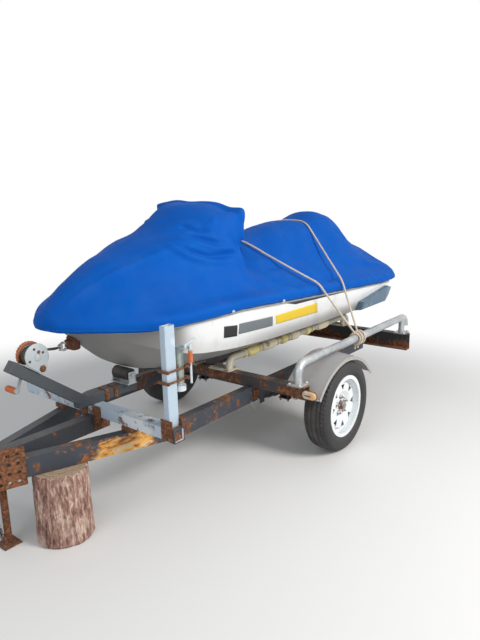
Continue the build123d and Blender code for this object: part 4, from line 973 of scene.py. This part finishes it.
def makeTyre(word, side, material):
    # the outline, finer on the crown, turned about the axle, its radius less the depth of the cuts
    half = np.array(wheel["outline"])
    across = np.linspace(0, .0605, 34)
    crown = np.stack((across, np.interp(across, half[:4, 0], half[:4, 1])), 1)
    key = np.arange(len(half) - 3)
    half = np.concatenate((crown[:-1], hermite(key, half[3:], np.linspace(0, key[-1] - 1, 22)), half[-1:]))
    y, radius = np.concatenate((half[::-1] * (-1, 1), half[1:])).T[:, None]
    off = np.abs(y)
    turn = np.linspace(0, 2 * np.pi, wheel["steps"], endpoint=False)[:, None]
    pitch = turn * wheel["pitches"] / (2 * np.pi)
    saw = 2 * np.abs(np.mod(pitch, 1) - .5) - .5
    # zigzag grooves, cuts deep on the shoulders and fine between the grooves
    cuts = [smoothStep(wheel["grooveHalf"] + .0012, wheel["grooveHalf"] - .0008,
                       np.abs(off - groove + wheel["zigzag"] * saw)) for groove in wheel["grooves"]]
    wave = np.abs(np.mod(pitch + off * 16, 1) - .5)
    cuts.append(smoothStep(.40, .45, wave) * smoothStep(.044, .048, off) * smoothStep(.0660, .0600, off))
    cuts.append(.55 * smoothStep(.44, .47, wave) * smoothStep(.020, .024, off) * smoothStep(.037, .033, off))
    wallRings = .0007 * (gauss(radius, .243, .002) + gauss(radius, .206, .0016)) * (off > .066)
    points = wheeled((axleX, side * wheelY, axleZ), radius - wheel["grooveDepth"] * np.max(cuts, 0), turn,
                     y + np.sign(y) * wallRings)
    tread = gridPiece(points, closeRows=True, closeColumns=True)
    put(f"tyre_tread_{word}", [tread], material, "tyre", f"tyre_{word}", body=f"wheel_{word}")


def makeWheels():
    rubber, look, place = newMaterial("tyreRubber")
    reach = fromAxis(mapped(place, (-axleX, 0, -axleZ)), (1, 0, 1))
    grimy = patches(place, .35, .75, 11.0, 5, .65)
    share = math("MULTIPLY", grimy, plus(.22, times(spread(reach, .262, .270), .5)), clamp=True)
    tone = over((.022, .022, .025), (.13, .115, .10), share)
    tone = over(tone, (.10, .085, .07), minus(1.0, spread(reach, .188, .196)), .4)
    finish(look, noise(place, 240.0, 3, .6), .25, .0006, colour=tone, rough=blend(grimy, .62, .88))
    stud = [(0, 0), (0, .0055), (.021, .0055), (.023, .004), (.023, 0)]
    stem = [(-.012, 0), (-.012, .0042), (.018, .0042), (.020, .003), (.020, 0)]
    for word, side in bothSides:
        makeTyre(word, side, rubber)
        nuts = []
        for index in range(wheel["nuts"]):
            at = wheeled((axleX, side * (wheelY + wheel["nutOut"]), axleZ), wheel["nutRing"],
                         2 * np.pi * (index + .25) / wheel["nuts"])
            nuts += [boltHead(at, (0, side, 0), wheel["nutRadius"], .013), turned(stud, at, (0, side, 0), 14)]
        valve = wheeled((axleX, side * (wheelY + wheel["valveOut"]), axleZ), wheel["valveRing"], 2.2)
        nuts.append(turned(stem, valve, (.2, side, .25), 14))
        put(f"wheel_nuts_{word}", nuts, paint["nutSteel"], "hub_steel", body=f"wheel_{word}")


makeWheels()
print("wheels made")


# Bunk rollers on their tubes

rollers = dict(
    # middle forward of the axle, length
    places=[(.135, .108), (-.040, .146), (-.205, .060), (-.335, .100), (-.500, .050), (-.715, .148)],
    radius=.033, bore=.0214, barrel=.26, rings=(.215, .070, -.130, -.262, -.560), ringRadius=.0275,
)


def makeRollers():
    low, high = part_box("bunk_rollers")
    bore, u = rollers["bore"], np.linspace(-1, 1, 41)
    stop = [(-.006, bore), (-.006, .026), (-.003, rollers["ringRadius"]), (.003, rollers["ringRadius"]),
            (.006, .026), (.006, bore)]
    yellow, cream, stops = [], [], []

    def threaded(outline, fromAxle, side, steps):
        place = axleX + fromAxle, side * (high.y - rollers["radius"]), (low.z + high.z) / 2
        return turned(outline, place, (1, 0, 0), steps, closed=True)

    for side in (1, -1):
        for index, (middle, length) in enumerate(rollers["places"]):
            # barrel with rounded ends and shallow ribs
            radius = rollers["radius"] * (1 - rollers["barrel"] * u ** 4)
            radius = bore + .002 + (radius - bore - .002) * smoothStep(1.0, .93, np.abs(u)) ** .5
            radius -= .0012 * (1 - np.abs(np.sin(u * length * 170))) ** 4
            outline = [(-length / 2, bore), *zip(u * length / 2, radius), (length / 2, bore)]
            (cream if index % 2 else yellow).append(threaded(outline, middle, side, 40))
        stops += [threaded(stop, ring, side, 32) for ring in rollers["rings"]]
    put("bunk_rollers_yellow", yellow, paint["rollerYellow"], "roller_yellow", "bunk_rollers")
    put("bunk_rollers_cream", cream, paint["rollerCream"], "roller_yellow")
    put("bunk_stop_rings", stops, paint["rollerYellow"], "roller_yellow")


makeRollers()
print("rollers made")


# Log under the port arm

logPiece = dict(
    bark=.008, waist=.006, flare=.010, rows=110, columns=260, seed=5,
    # ridges round the stem and their share of the bark
    ridges=((9, .35), (17, .3), (31, .25), (53, .16)),
)


def makeLog():
    low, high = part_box("log")
    middle = np.array(((low.x + high.x) / 2, (low.y + high.y) / 2))
    turn = np.linspace(0, 2 * np.pi, logPiece["columns"], endpoint=False)[None]
    rise = np.linspace(0, 1, logPiece["rows"])[:, None]
    dice = np.random.default_rng(logPiece["seed"])
    # bark: ridges that run up the stem and wander, cut across by cracks
    wander = turn + .10 * np.sin(rise * 5 + turn * 2) + .05 * np.sin(rise * 17 + turn * 5)
    bark = -.5
    for count, share in logPiece["ridges"]:
        a, b = dice.uniform(0, 6.3, 2)
        drift = 1.3 * np.sin(rise * (4 + count / 9) + b)
        bark = bark + share * np.abs(np.sin(count * wander / 2 + a + drift))
    crack = gauss(np.sin(wander * 13 + 3 * np.sin(rise * 9)), 0, .16)
    bark -= .6 * crack * smoothStep(.2, .6, np.sin(rise * 23 + turn * 7))
    lump = .5 * np.sin(2 * turn + 1) + .35 * np.sin(3 * turn + 2.2) + .25 * np.sin(5 * turn)
    radius = ((high.x - low.x) / 2 + logPiece["bark"] * (bark * .8 - .6) + logPiece["waist"] * (lump * .6 - 1)
              + logPiece["flare"] * .6 * (1 - rise) ** 3)
    radius -= .006 * smoothStep(.03, 0, rise) + .008 * smoothStep(.97, 1, rise)
    height = low.z + (high.z - low.z - .0004) * rise + .0002
    side = np.stack((middle[0] + radius * np.cos(turn), middle[1] + radius * np.sin(turn),
                     height + 0 * turn), -1)
    # sawn ends, the top one with saw marks
    inward = np.linspace(1, 0, 26)[1:, None, None]
    tops, feet = [side[row] * inward + np.append(middle, side[row, 0, 2]) * (1 - inward) for row in (-1, 0)]
    chips = .0012 * np.sin(inward[..., 0] * 70 + 2 * np.cos(turn))
    tops[..., 2] -= .0015 + chips * smoothStep(0, .3, inward[..., 0])
    skin = gridPiece(np.concatenate((feet[::-1], side, tops)), closeColumns=True)
    put("log_bark", [skin], barkFinish(middle), "log_wood", "log")


def barkFinish(middle):
    material, look, place = newMaterial("barkWood")
    centred = mapped(place, (*-middle, 0))
    tall = mapped(centred, scale=(1, 1, .22))
    streak, fine = noise(tall, 42.0, 6, .7, .6), noise(tall, 130.0, 4, .7)
    tone = ramp(plus(streak, times(minus(fine, .5), .5)),
                [(.30, (.055, .028, .022)), (.42, (.20, .10, .075)), (.53, (.36, .21, .165)),
                 (.66, (.66, .52, .43))])
    tone = over(tone, (.60, .47, .39), patches(centred, .52, .68, 13.0, 5, .65), .55)
    # year rings on what faces up
    wobble = times(noise(centred, 14.0, 3, .5), 9.0)
    rings = math("SINE", plus(times(fromAxis(centred, (1, 1, 0)), 900.0), wobble))
    grain = over((.30, .20, .13), (.50, .38, .26), spread(rings, -1, 1))
    tone = over(tone, grain, spread(facing(place.id_data, "Z"), .75, .9))
    finish(look, plus(streak, times(fine, .6)), .9, .004, colour=tone, rough=.93)
    return material


makeLog()
print("log made")


# Steel of the trailer: the solids keep their shape and get eased edges and a finish

def dress(material, edge, *names):
    for name in names:
        solid = nodes[name]
        solid.data.materials.clear()
        solid.data.materials.append(material)
        if edge:
            solid.modifiers.new("weld", "WELD").merge_threshold = 1e-5
            flat = solid.modifiers.new("flat", "DECIMATE")
            flat.decimate_type = "DISSOLVE"
            flat.angle_limit = np.radians(.5)
            bevel = solid.modifiers.new("bevel", "BEVEL")
            bevel.width = edge
            bevel.segments = 2
            bevel.limit_method = "ANGLE"
            bevel.angle_limit = np.radians(40)


def baseOf(material):
    # socket of the base colour, and what feeds it now
    shader = next(n for n in material.node_tree.nodes if n.type == "BSDF_PRINCIPLED")
    socket = shader.inputs["Base Color"]
    return socket, socket.links[0].from_socket, node(material.node_tree, "TexCoord").outputs["Object"]


def peelRails():
    # on the port arm a stretch of the paint is peeled to yellow primer, bare metal and rust
    socket, base, place = baseOf(paint["railPaint"])
    wander = times(minus(noise(place, 9.0, 4, .6), .5), .16)
    x, z = plus(part(place, "X"), wander), plus(part(place, "Z"), wander)
    zone = times(spread(x, .690, .712), spread(x, .985, .945), spread(z, .419, .408),
                 spread(facing(place.id_data, "Y"), .3, .6), spread(part(place, "Y"), .05, .08))
    flake = noise(mapped(place, scale=(9, 9, 34)), 1.0, 6, .72, 1.2)
    tone = ramp(flake, [(.34, (.10, .030, .012)), (.43, (.30, .10, .025)), (.50, (.62, .30, .06)),
                        (.57, (.70, .42, .12)), (.63, (.56, .50, .38)), (.70, (.28, .11, .04))])
    feed(socket, over(base, tone, zone))


def finishRims():
    # clear coat, and grime and shade inboard of the wheel disc, seen through its holes
    socket, base, place = baseOf(paint["rimPaint"])
    feed(socket.node.inputs["Coat Weight"], .4)
    feed(socket.node.inputs["Coat Roughness"], .12)
    feed(socket, over(base, (.012, .011, .010), spread(math("ABSOLUTE", part(place, "Y")), .711, .706)))


def rearFinish():
    # paint that rusts through towards the foot of the piece
    material, look, place = newMaterial("rearPaint")
    colour = np.array((.026, .028, .032))
    coat = over(colour * .8, colour * 1.25, noise(place, 4.0, 4, .6))
    amount = plus(.36, times(spread(part(place, "Z"), .44, .375), .5))
    base, mask, height = rusted(place, coat, 8.5, amount, .8)
    finish(look, height, .6, .0012, colour=dusted(place, base, .3)[0], rough=blend(mask, .55, .9))
    return material


def zincFinish():
    # hot-dip zinc: faint spangle, dull white bloom, a few rust runs
    material, look, place = newMaterial("zinc")
    cells = node(place.id_data, "TexVoronoi", {"Vector": place, "Scale": 95.0, "Randomness": 1.0})
    grey = node(place.id_data, "RGBToBW", {0: cells.outputs["Color"]}).outputs[0]
    bloomed = patches(place, .42, .66, 6.5, 5, .65)
    tone = over(over((.37, .40, .42), (.50, .53, .55), grey), (.56, .58, .58), bloomed, .7)
    tone, mask, _ = rusted(place, tone, 11.0, .20, .7, share=.8)
    dull = math("MAXIMUM", mask, times(bloomed, .6))
    finish(look, grey, .10, .0008, colour=dusted(place, tone, .18)[0], metal=blend(dull, .80, .15),
           rough=blend(dull, .36, .62))
    return material


peelRails()
finishRims()
zinc = zincFinish()
dress(paint["railPaint"], .0016, "rail_left", "rail_right")
dress(paint["frameDark"], .002, "centre_beam", "ride_plate")
dress(paint["frameDark"], None, "axle", "leaf_springs")
dress(paint["crossRust"], .0018, "front_crossmember")
dress(rearFinish(), .0018, "rear_crossmember")
dress(paint["mastPaint"], .003, "winch_stand")
dress(paint["deepRust"], .0015, "bar_saddles")
dress(paint["deepRust"], None, "coupler_bracket", "coupler", "post_clamps", "prop_leg")
dress(paint["bunkPaint"], None, "bunk_tube_left", "bunk_tube_right")
dress(zinc, None, "guide_tube_left", "guide_tube_right", "winch", "keel_roller_fork", "bow_eye")
dress(paint["fenderPaint"], None, "fender_left", "fender_right")
dress(paint["rimPaint"], None, "rim_left", "rim_right")
dress(paint["hubSteel"], None, "hub_left", "hub_right")
dress(paint["rodPaint"], None, "jack_crank", "jack_leg")
dress(paint["pumpAlloy"], None, "jet_pump", "impeller", "steering_nozzle", "intake_grate")
dress(paint["jackPaint"], None, "jack_tube")
dress(paint["sponsonPlastic"], .004, "sponson_left", "sponson_right")
dress(paint["rollerBlack"], None, "keel_roller")
dress(paint["engineBlock"], .0016, "engine")
print("solids finished")


# Square tubes with open ends

def squareTube(low, high, wall, axis, corner=.003, depth=.05):
    # outer skin along an axis, its mouths turned in over the wall and down inside
    low, high = np.asarray(low, float), np.asarray(high, float)
    others = [k for k in range(3) if k != axis]
    angle = np.linspace(0, 2 * np.pi, 32, endpoint=False) + np.pi / 32
    lap = np.stack((np.cos(angle), np.sin(angle)), 1)
    middle, half = (low + high)[others] / 2, (high - low)[others] / 2

    def ring(inset, at):
        spot = np.full((len(angle), 3), at)
        spot[:, others] = (middle + np.sign(lap) * (half - corner - max(inset - corner, 0))
                           + lap * max(corner - inset, .0004))
        return spot

    mouth = [(wall, depth), (wall, 0), (.0006, 0), (0, .0008)]
    rows = [ring(inset, low[axis] + inside) for inset, inside in mouth]
    rows += [ring(0, at) for at in np.linspace(low[axis], high[axis], 24)[1:-1]]
    rows += [ring(inset, high[axis] - inside) for inset, inside in mouth[::-1]]
    return capped(np.array(rows))


def makeSquareTubes():
    foot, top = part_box("side_post")
    low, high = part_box("bow_crossbar")
    post, bar = squareTube(foot, top, .0028, 2), squareTube(low, high, .0032, 1)
    put("side_post_tube", [post], paint["postPaint"], "bar_paint", "side_post")
    put("bow_crossbar_tube", [bar], paint["barPaint"], "bar_paint", "bow_crossbar")
    # dark sleeve on the bar's port end, rusty angle at the foot of the post
    sleeve = squareTube((low.x - .0025, high.y - .030, low.z - .0025),
                        (high.x + .0025, high.y + .002, high.z + .0025), .0055, 1, corner=.004, depth=.012)
    put("bar_sleeve", [sleeve], paint["frameDark"], "frame_rust")
    plates = [((-.004, -.020, -.002), (.004, 0, .004)), ((-.004, -.0045, 0), (.004, -.0002, .030))]
    angle = [block((foot.x + a, foot.y + b, high.z + c), (top.x + d, foot.y + e, high.z + f), .001)
             for (a, b, c), (d, e, f) in plates]
    angle.append(block((foot.x + .004, top.y, high.z - .002),
                       (top.x + .004, top.y + .012, high.z + .003), .001))
    put("post_angle", angle, paint["deepRust"], "frame_rust")


makeSquareTubes()
print("square tubes made")


# Bolts, brackets and other small steel

fasteners = dict(
    # low and high corner on the port side: gusset of the rail, seat and angle of the bow bar
    gusset=((-.074, .3702, .345), (-.020, .3768, .470), .0015),
    seat=((.742, .0303, .372), (.822, .036, .4455), .0012),
    angle=((.8092, .030, .400), (.8145, .075, .500), .0012),
    # place on the port side, head radius: bolts that point out, bolts of the angle that point forward
    outBolts=[((-.069, .3768, .400), .008), ((-.025, .3768, .400), .008), ((.782, .036, .410), .009)],
    foreBolts=[(.8145, .060, .420), (.8145, .060, .478)],
    straps=(.672, .728), strapHalf=.011, springY=.345, springHalf=(.031, .028), springDown=.031,
)


def makeFasteners():
    bright, rusty = [], []
    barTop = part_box("bow_crossbar")[1].z
    for word, side in bothSides:
        # plates of the guide and bunk tubes on both crossmembers
        for name in ("guide_tube", "bunk_tube"):
            low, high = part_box(f"{name}_{word}")
            for back, front in (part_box("front_crossmember"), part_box("rear_crossmember")):
                bright += [boltHead((x, y, front.z + .008))
                           for x in (back.x - .007, front.x + .007) for y in (low.y + .011, high.y - .011)]
        # spring clamp nuts under the axle
        halfX, halfY = fasteners["springHalf"]
        bright += [boltHead((axleX + x, side * fasteners["springY"] + y, axleZ - fasteners["springDown"]),
                            (0, 0, -1), .0085, .008) for x in (-halfX, halfX) for y in (-halfY, halfY)]
        rusty += [block(*fasteners[name], side) for name in ("gusset", "seat", "angle")]
        rusty += [boltHead((x, side * y, z), (0, side, 0), head) for (x, y, z), head in fasteners["outBolts"]]
        rusty += [boltHead((x, side * y, z), (1, 0, 0), .0085) for x, y, z in fasteners["foreBolts"]]
        # sides of the straps round the level tube of the winch stand
        for x in fasteners["straps"]:
            a, b = x - fasteners["strapHalf"], x + fasteners["strapHalf"]
            rusty += [block((a, .0262, barTop - .004), (b, .0305, barTop + .056), .001, side),
                      boltHead((x, side * .0305, barTop + .026), (0, side, 0), .0075)]
            if side > 0:
                rusty.append(block((a, -.0305, barTop + .0522), (b, .0305, barTop + .0565), .001))
    put("plate_bolts", bright, paint["boltZinc"], "galvanised")
    put("frame_brackets", rusty, paint["deepRust"], "frame_rust")


fender = dict(
    # beads: below the outer face, radius, sides
    bead=(.0155, .0038, 10), crown=(.001, .0024, 8), endRadius=.003, radius=.391, crownDrop=.018,
    ends=(36, 144), inner=.541,
)


def makeFenderEdges():
    # rolled bead on the outer edge and the two ends; its paler paint is a painted highlight along the rolled
    # edge
    beads = []
    radius = fender["radius"]
    turn = np.radians(np.linspace(*fender["ends"], 90))
    for word, side in bothSides:
        low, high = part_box(f"fender_{word}")
        edgeY = side * (max(abs(low.y), abs(high.y)) - .002)
        centre = axleX, 0, high.z - fender["crownDrop"] - radius
        for reach, thick, sides in (fender["bead"], fender["crown"]):
            beads.append(tube(wheeled(centre, radius - reach, turn, edgeY), thick, sides, guide=(0, 1, 0)))
        for end in (turn[0], turn[-1]):
            outer = wheeled(centre, radius, end, edgeY)
            inner = wheeled(centre, radius + .018, end, side * fender["inner"])
            path = outer + (inner - outer) * np.linspace(0, 1, 8)[:, None]
            beads.append(tube(path, fender["endRadius"], 8))
    put("fender_beads", beads, paint["fenderEdge"], "fender_steel")


makeFasteners()
makeFenderEdges()
print("fasteners made")


# Marker lamps

lamp = dict(half=.023, radius=.0225, fromEnd=.046, backDeep=.009, dome=.0138, domeShare=.94, armDrop=.020)


def makeLamps(material):
    # a slot's outline, two half circles apart, scaled and moved forward in rings: flat back, domed lens
    low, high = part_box("marker_lamps")
    angle = np.linspace(0, 2 * np.pi, 56, endpoint=False)
    outline = np.stack((0 * angle, np.sign(np.cos(angle)) * lamp["half"] + lamp["radius"] * np.cos(angle),
                        lamp["radius"] * np.sin(angle)), 1)
    share, deep = lamp["domeShare"], lamp["backDeep"]
    back = [(0, 0), (.98, 0), (1, .001), (1, .008), (.97, deep), (0, deep)]
    dome = [(share * np.cos(a) ** .6, deep + lamp["dome"] * np.sin(a))
            for a in np.linspace(0, np.pi / 2, 16)[:-1]]
    dome = [(0, deep - .0005), (share, deep - .0005), *dome, (0, deep + lamp["dome"])]
    lens, backs = [], []
    for side in (1, -1):
        middle = np.array((low.x + .001, side * (high.y - lamp["fromEnd"]), (low.z + high.z) / 2))
        for parts, rings in ((backs, back), (lens, dome)):
            rings = np.array([middle + outline * scale + (x, 0, 0) for scale, x in rings])
            parts.append(gridPiece(rings, closeColumns=True))
        x, z = middle[0] + .001, middle[2] - lamp["armDrop"]
        backs.append(block((x, high.y - .14, z - .010), (x + .004, high.y - .03, z + .012), .001, side))
    put("marker_lamp_lenses", lens, material, "lamp_plastic", "marker_lamps")
    put("marker_lamp_backs", backs, paint["deepRust"], "frame_rust")


def lensFinish():
    # amber outboard, pale inboard, a dark slot between, milky with age
    material, look, place = newMaterial("lampLens")
    y, z = math("ABSOLUTE", part(place, "Y")), part(place, "Z")
    tone = over((.62, .52, .44), (.72, .40, .18), spread(y, .742, .748))
    slot = times(spread(y, .726, .729), spread(y, .768, .765),
                 spread(math("ABSOLUTE", minus(z, .4535)), .004, .002))
    tone = over(tone, (.10, .035, .03), slot)
    tone = over(tone, (.66, .60, .52), patches(place, .35, .7, 30.0, 5, .6), .45)
    finish(look, math("SINE", times(y, 1800.0)), .3, .0006, colour=tone, rough=.38, deep=.15)
    return material


makeLamps(lensFinish())


# Winch, its strap and the grips of both cranks

winch = dict(
    centre=(1.0806, 0, .8090),
    # gear rim on the starboard plate: teeth, tip radius, tooth depth, bore, its two faces
    teeth=26, tip=.0590, tooth=.0020, bore=.050, faces=(-.0225, -.0400), gearAt=(.004, 0, .005),
    # cheek plate on the port side: large and small circle, its rows (share of the outline, out, inset)
    large=((.008, 0, .010), .056), small=((-.014, 0, -.055), .021),
    cheek=[(0, .0338, 0), (1, .0338, 0), (1, .0366, 0), (1, .0374, .0012), (0, .0374, 0)],
    holes=((.010, .032), (-.030, .010), (.036, -.018)),
    crankTip=(.064, -.062, -.158), crankGrip=.088, jackGrip=((.705, .593, .844), (.705, .593, .784)),
    strapFrom=(-.024, 0, .026), strapSag=.004, strapHalf=.024, strapNarrow=.010, strapThick=.0012,
)


def ribbedGrip(start, end, radius, ribs=9):
    # moulded grip: shallow ribs between rounded ends
    start, end = np.asarray(start, float), np.asarray(end, float)
    length = np.linalg.norm(end - start)
    u = np.linspace(0, 1, ribs * 8 + 1)
    ends = np.sqrt(np.clip(1 - (2 * u - 1) ** 12, .01, 1))
    reach = radius * (1 + .07 * np.cos(2 * np.pi * ribs * u)) * ends
    return turned([(0, 0), *zip(u * length, reach), (length, 0)], start, end - start, 24)


def makeWinch():
    centre = np.array(winch["centre"])
    turn = np.linspace(0, 2 * np.pi, winch["teeth"] * 8, endpoint=False)
    tip = winch["tip"] + winch["tooth"] * smoothStep(-.25, .25, np.cos(winch["teeth"] * turn))
    near, far = winch["faces"]
    rows = [wheeled(centre + winch["gearAt"], reach, turn, y)
            for y, reach in ((near, winch["bore"]), (near, tip), (far, tip), (far, winch["bore"]))]
    gear = gridPiece(np.stack(rows, 1), closeRows=True, closeColumns=True)
    put("winch_gear", [gear], paint["gearRust"], "galvanised")
    # cheek plate: hull of a large and a small circle, the small one down at the mast with its bolt
    out = wheeled((0, 0, 0), 1, np.linspace(0, 2 * np.pi, 96, endpoint=False))
    (large, wide), (small, slim) = winch["large"], winch["small"]
    large, small = centre + large, centre + small
    upper = (out @ (large - small) + wide - slim > 0)[:, None]
    outline = np.where(upper, large + wide * out, small + slim * out)
    middle = outline.mean(0)
    rows = [middle + (outline - middle - inset * out) * share + (0, y, 0)
            for share, y, inset in winch["cheek"]]
    put("winch_cheek", [gridPiece(np.stack(rows, 1), closeRows=True)], paint["cheekZinc"], "galvanised")
    hub = [(0, 0), (0, .017), (.003, .015), (.005, .008), (.005, 0)]
    put("winch_hub", [turned(hub, large + (-.004, .037, -.008), steps=24)], paint["cheekZinc"], "galvanised")
    bolts = [boltHead(small + (0, .0374, .002), (0, 1, 0), .0115, .008),
             boltHead(large + (-.010, .0374, .016), (0, 1, 0), .0055, .003)]
    put("winch_bolts", bolts, paint["boltRust"], "galvanised")
    # black discs on the cheek plate: painted shade in its holes
    disc = [(0, 0), (0, .0062), (.0006, .0058), (.0006, 0)]
    holes = [turned(disc, large + (x, .0373, z), steps=16) for x, z in winch["holes"]]
    put("winch_holes", holes, paint["rollerBlack"], "galvanised")
    tip = centre + winch["crankTip"]
    grips = [ribbedGrip(tip, tip - (0, winch["crankGrip"], 0), .0142),
             ribbedGrip(*winch["jackGrip"], .0098, 7)]
    put("crank_grips", grips, paint["orangeGrip"], "hub_steel")


def makeStrap():
    # leaves the drum, runs a little slack to the bow eye, its hook in the eye
    centre = np.array(winch["centre"])
    low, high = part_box("bow_eye")
    start = centre + winch["strapFrom"]
    end = np.array((high.x + .001, 0, (low.z + high.z) / 2))
    s = np.linspace(0, 1, 40)[:, None]
    line = start + (end - start) * s - (0, 0, winch["strapSag"]) * np.sin(np.pi * s)
    half = (winch["strapHalf"] - winch["strapNarrow"] * smoothStep(.6, 1, s)) * np.linspace(-1, 1, 13)
    flat = line[:, None] + half[..., None] * (0, 1, 0)
    thick = unit(np.cross(end - start, (0, 1, 0))) * winch["strapThick"]
    band = capped(np.concatenate((flat + thick, flat[:, ::-1] - thick), 1))
    wound = turned([(0, .040), (0, .0505), (.046, .0505), (.046, .040)], centre + (.001, -.0195, 0), steps=64)
    hook = [end + (np.cos(a) * .011 - .004, 0, np.sin(a) * .014) for a in np.linspace(-.2, 5.2, 40)]
    # rusty stand that carries the eye on the stem
    stand = [block((low.x - .046, -.011, low.z + .004), (low.x + .010, .011, high.z + .006), .002),
             block((low.x - .052, -.028, low.z - .004), (low.x - .012, .028, high.z + .018), .004)]
    material, look, place = newMaterial("strapWeb")
    weave = use(threadWeave, place, Threads=520.0)
    tone = over((.055, .055, .032), (.12, .12, .08), weave["Shade"])
    tone = over(tone, (.16, .14, .11), patches(place, .45, .7, 25.0, 4, .6), .5)
    finish(look, weave["Height"], .5, .0006, colour=tone, rough=.9)
    put("eye_stand", stand, paint["eyeRust"], "eye_steel")
    put("winch_strap_web", [band], material, "strap_web", "winch_strap")
    put("winch_drum_web", [wound], material, "strap_web")
    put("winch_hook", [tube(hook, .0035, 10, guide=(0, 1, 0))], zinc, "eye_steel")


makeWinch()
makeStrap()


# Safety chain and loose wires

chain = dict(start=(1.372, .046, .306), end=(1.318, .018, .024), bow=(.012, .010, -.012),
             link=.026, wire=.0026)


def makeChain():
    # slack chain from the bracket to the foot of the prop leg: every other link a quarter turn round
    start, link = np.array(chain["start"]), chain["link"]
    run = chain["end"] - start
    count = int(np.linalg.norm(run) / (link * .78)) + 1
    angle = np.linspace(0, 2 * np.pi, 28, endpoint=False)
    way = unit(run)
    parts = []
    for index in range(count):
        share = (index + .5) / count
        place = start + run * share + np.array(chain["bow"]) * np.sin(np.pi * share)
        side = unit(np.cross(way, (1, 0, 0) if index % 2 else (0, 1, 0)))
        path = (place + way * (np.sign(np.cos(angle)) * link * .22 + np.cos(angle) * link * .28)[:, None]
                + side * (np.sin(angle) * link * .30)[:, None])
        parts.append(tube(path, chain["wire"], 8, guide=np.cross(way, side), closed=True))
    put("safety_chain", parts, paint["frameDark"], "frame_rust")
    # wire loop under the front crossmember, and a small hook by the lamp
    t = np.linspace(0, np.pi, 40)
    loop = np.stack((-.010 + .0312 * np.cos(t), .385 + .010 * np.sin(t), .352 - .050 * np.sin(t)), 1)
    hook = np.stack((-.004 + .004 * np.sin(t), .664 + .020 * np.cos(t), .428 - .010 * np.sin(t)), 1)
    wires = [tube(loop, .0022, 8, guide=(0, 1, 0)), tube(hook, .0030, 8, guide=(1, 0, 0))]
    put("frame_wires", wires, paint["wirePale"], "frame_rust")


makeChain()
print("small pieces made")


# Floor, light and background

def backdropSeen(tree):
    # 1 for the camera, and for what metal and glass show
    light = node(tree, "LightPath").outputs
    seen = math("MAXIMUM", light["Is Camera Ray"], light["Is Glossy Ray"])
    return math("MAXIMUM", seen, light["Is Transmission Ray"])


def makeStage():
    corners = [(-40, -40, 0), (40, -40, 0), (40, 40, 0), (-40, 40, 0)]
    floor = meshFrom("floor", corners, [(0, 1, 2, 3)], smooth=False)
    material, look, place = newMaterial("paleFloor")
    feed(look["Base Color"], (.80, .80, .79))
    feed(look["Roughness"], .8)
    tree = material.node_tree
    glow = node(tree, "Emission", {"Color": (1, 1, 1), "Strength": 1.0})
    share = times(spread(fromAxis(place, (1, 1, 0)), 1.9, 3.6), backdropSeen(tree))
    output = next(n for n in tree.nodes if n.type == "OUTPUT_MATERIAL")
    plain = output.inputs[0].links[0].from_socket
    feed(output.inputs[0], node(tree, "MixShader", {0: share, 1: plain, 2: glow.outputs[0]}).outputs[0])
    floor.data.materials.append(material)
    world = bpy.data.worlds.new("world")
    bpy.context.scene.world = world
    world.use_nodes = True
    tree = world.node_tree
    tree.nodes.clear()
    sky = node(tree, "Background", {"Color": (.93, .96, 1), "Strength": .45}).outputs[0]
    plain = node(tree, "Background", {"Color": (1, 1, 1), "Strength": 1.0}).outputs[0]
    mixed = node(tree, "MixShader", {0: backdropSeen(tree), 1: sky, 2: plain}).outputs[0]
    feed(node(tree, "OutputWorld").inputs[0], mixed)
    bpy.context.scene.view_settings.view_transform = "Standard"


def softLight(name, at, aim, size, watts, colour):
    lamp = bpy.data.lights.new(name, "AREA")
    lamp.shape = "DISK"
    lamp.size = size
    lamp.energy = watts
    lamp.color = colour
    holder = bpy.data.objects.new(name, lamp)
    holder.location = at
    holder.rotation_euler = (Vector(aim) - Vector(at)).to_track_quat("-Z", "Y").to_euler()
    bpy.context.scene.collection.objects.link(holder)


makeStage()
softLight("key", (-.4, 4.7, 3.4), (0, 0, .7), 1.9, 225, (1, .97, .93))
softLight("fill", (4.6, 1.0, 2.8), (.2, 0, .8), 3.2, 45, (.95, .98, 1))
print("floor, lights and background made")
bpy.context.view_layer.update()
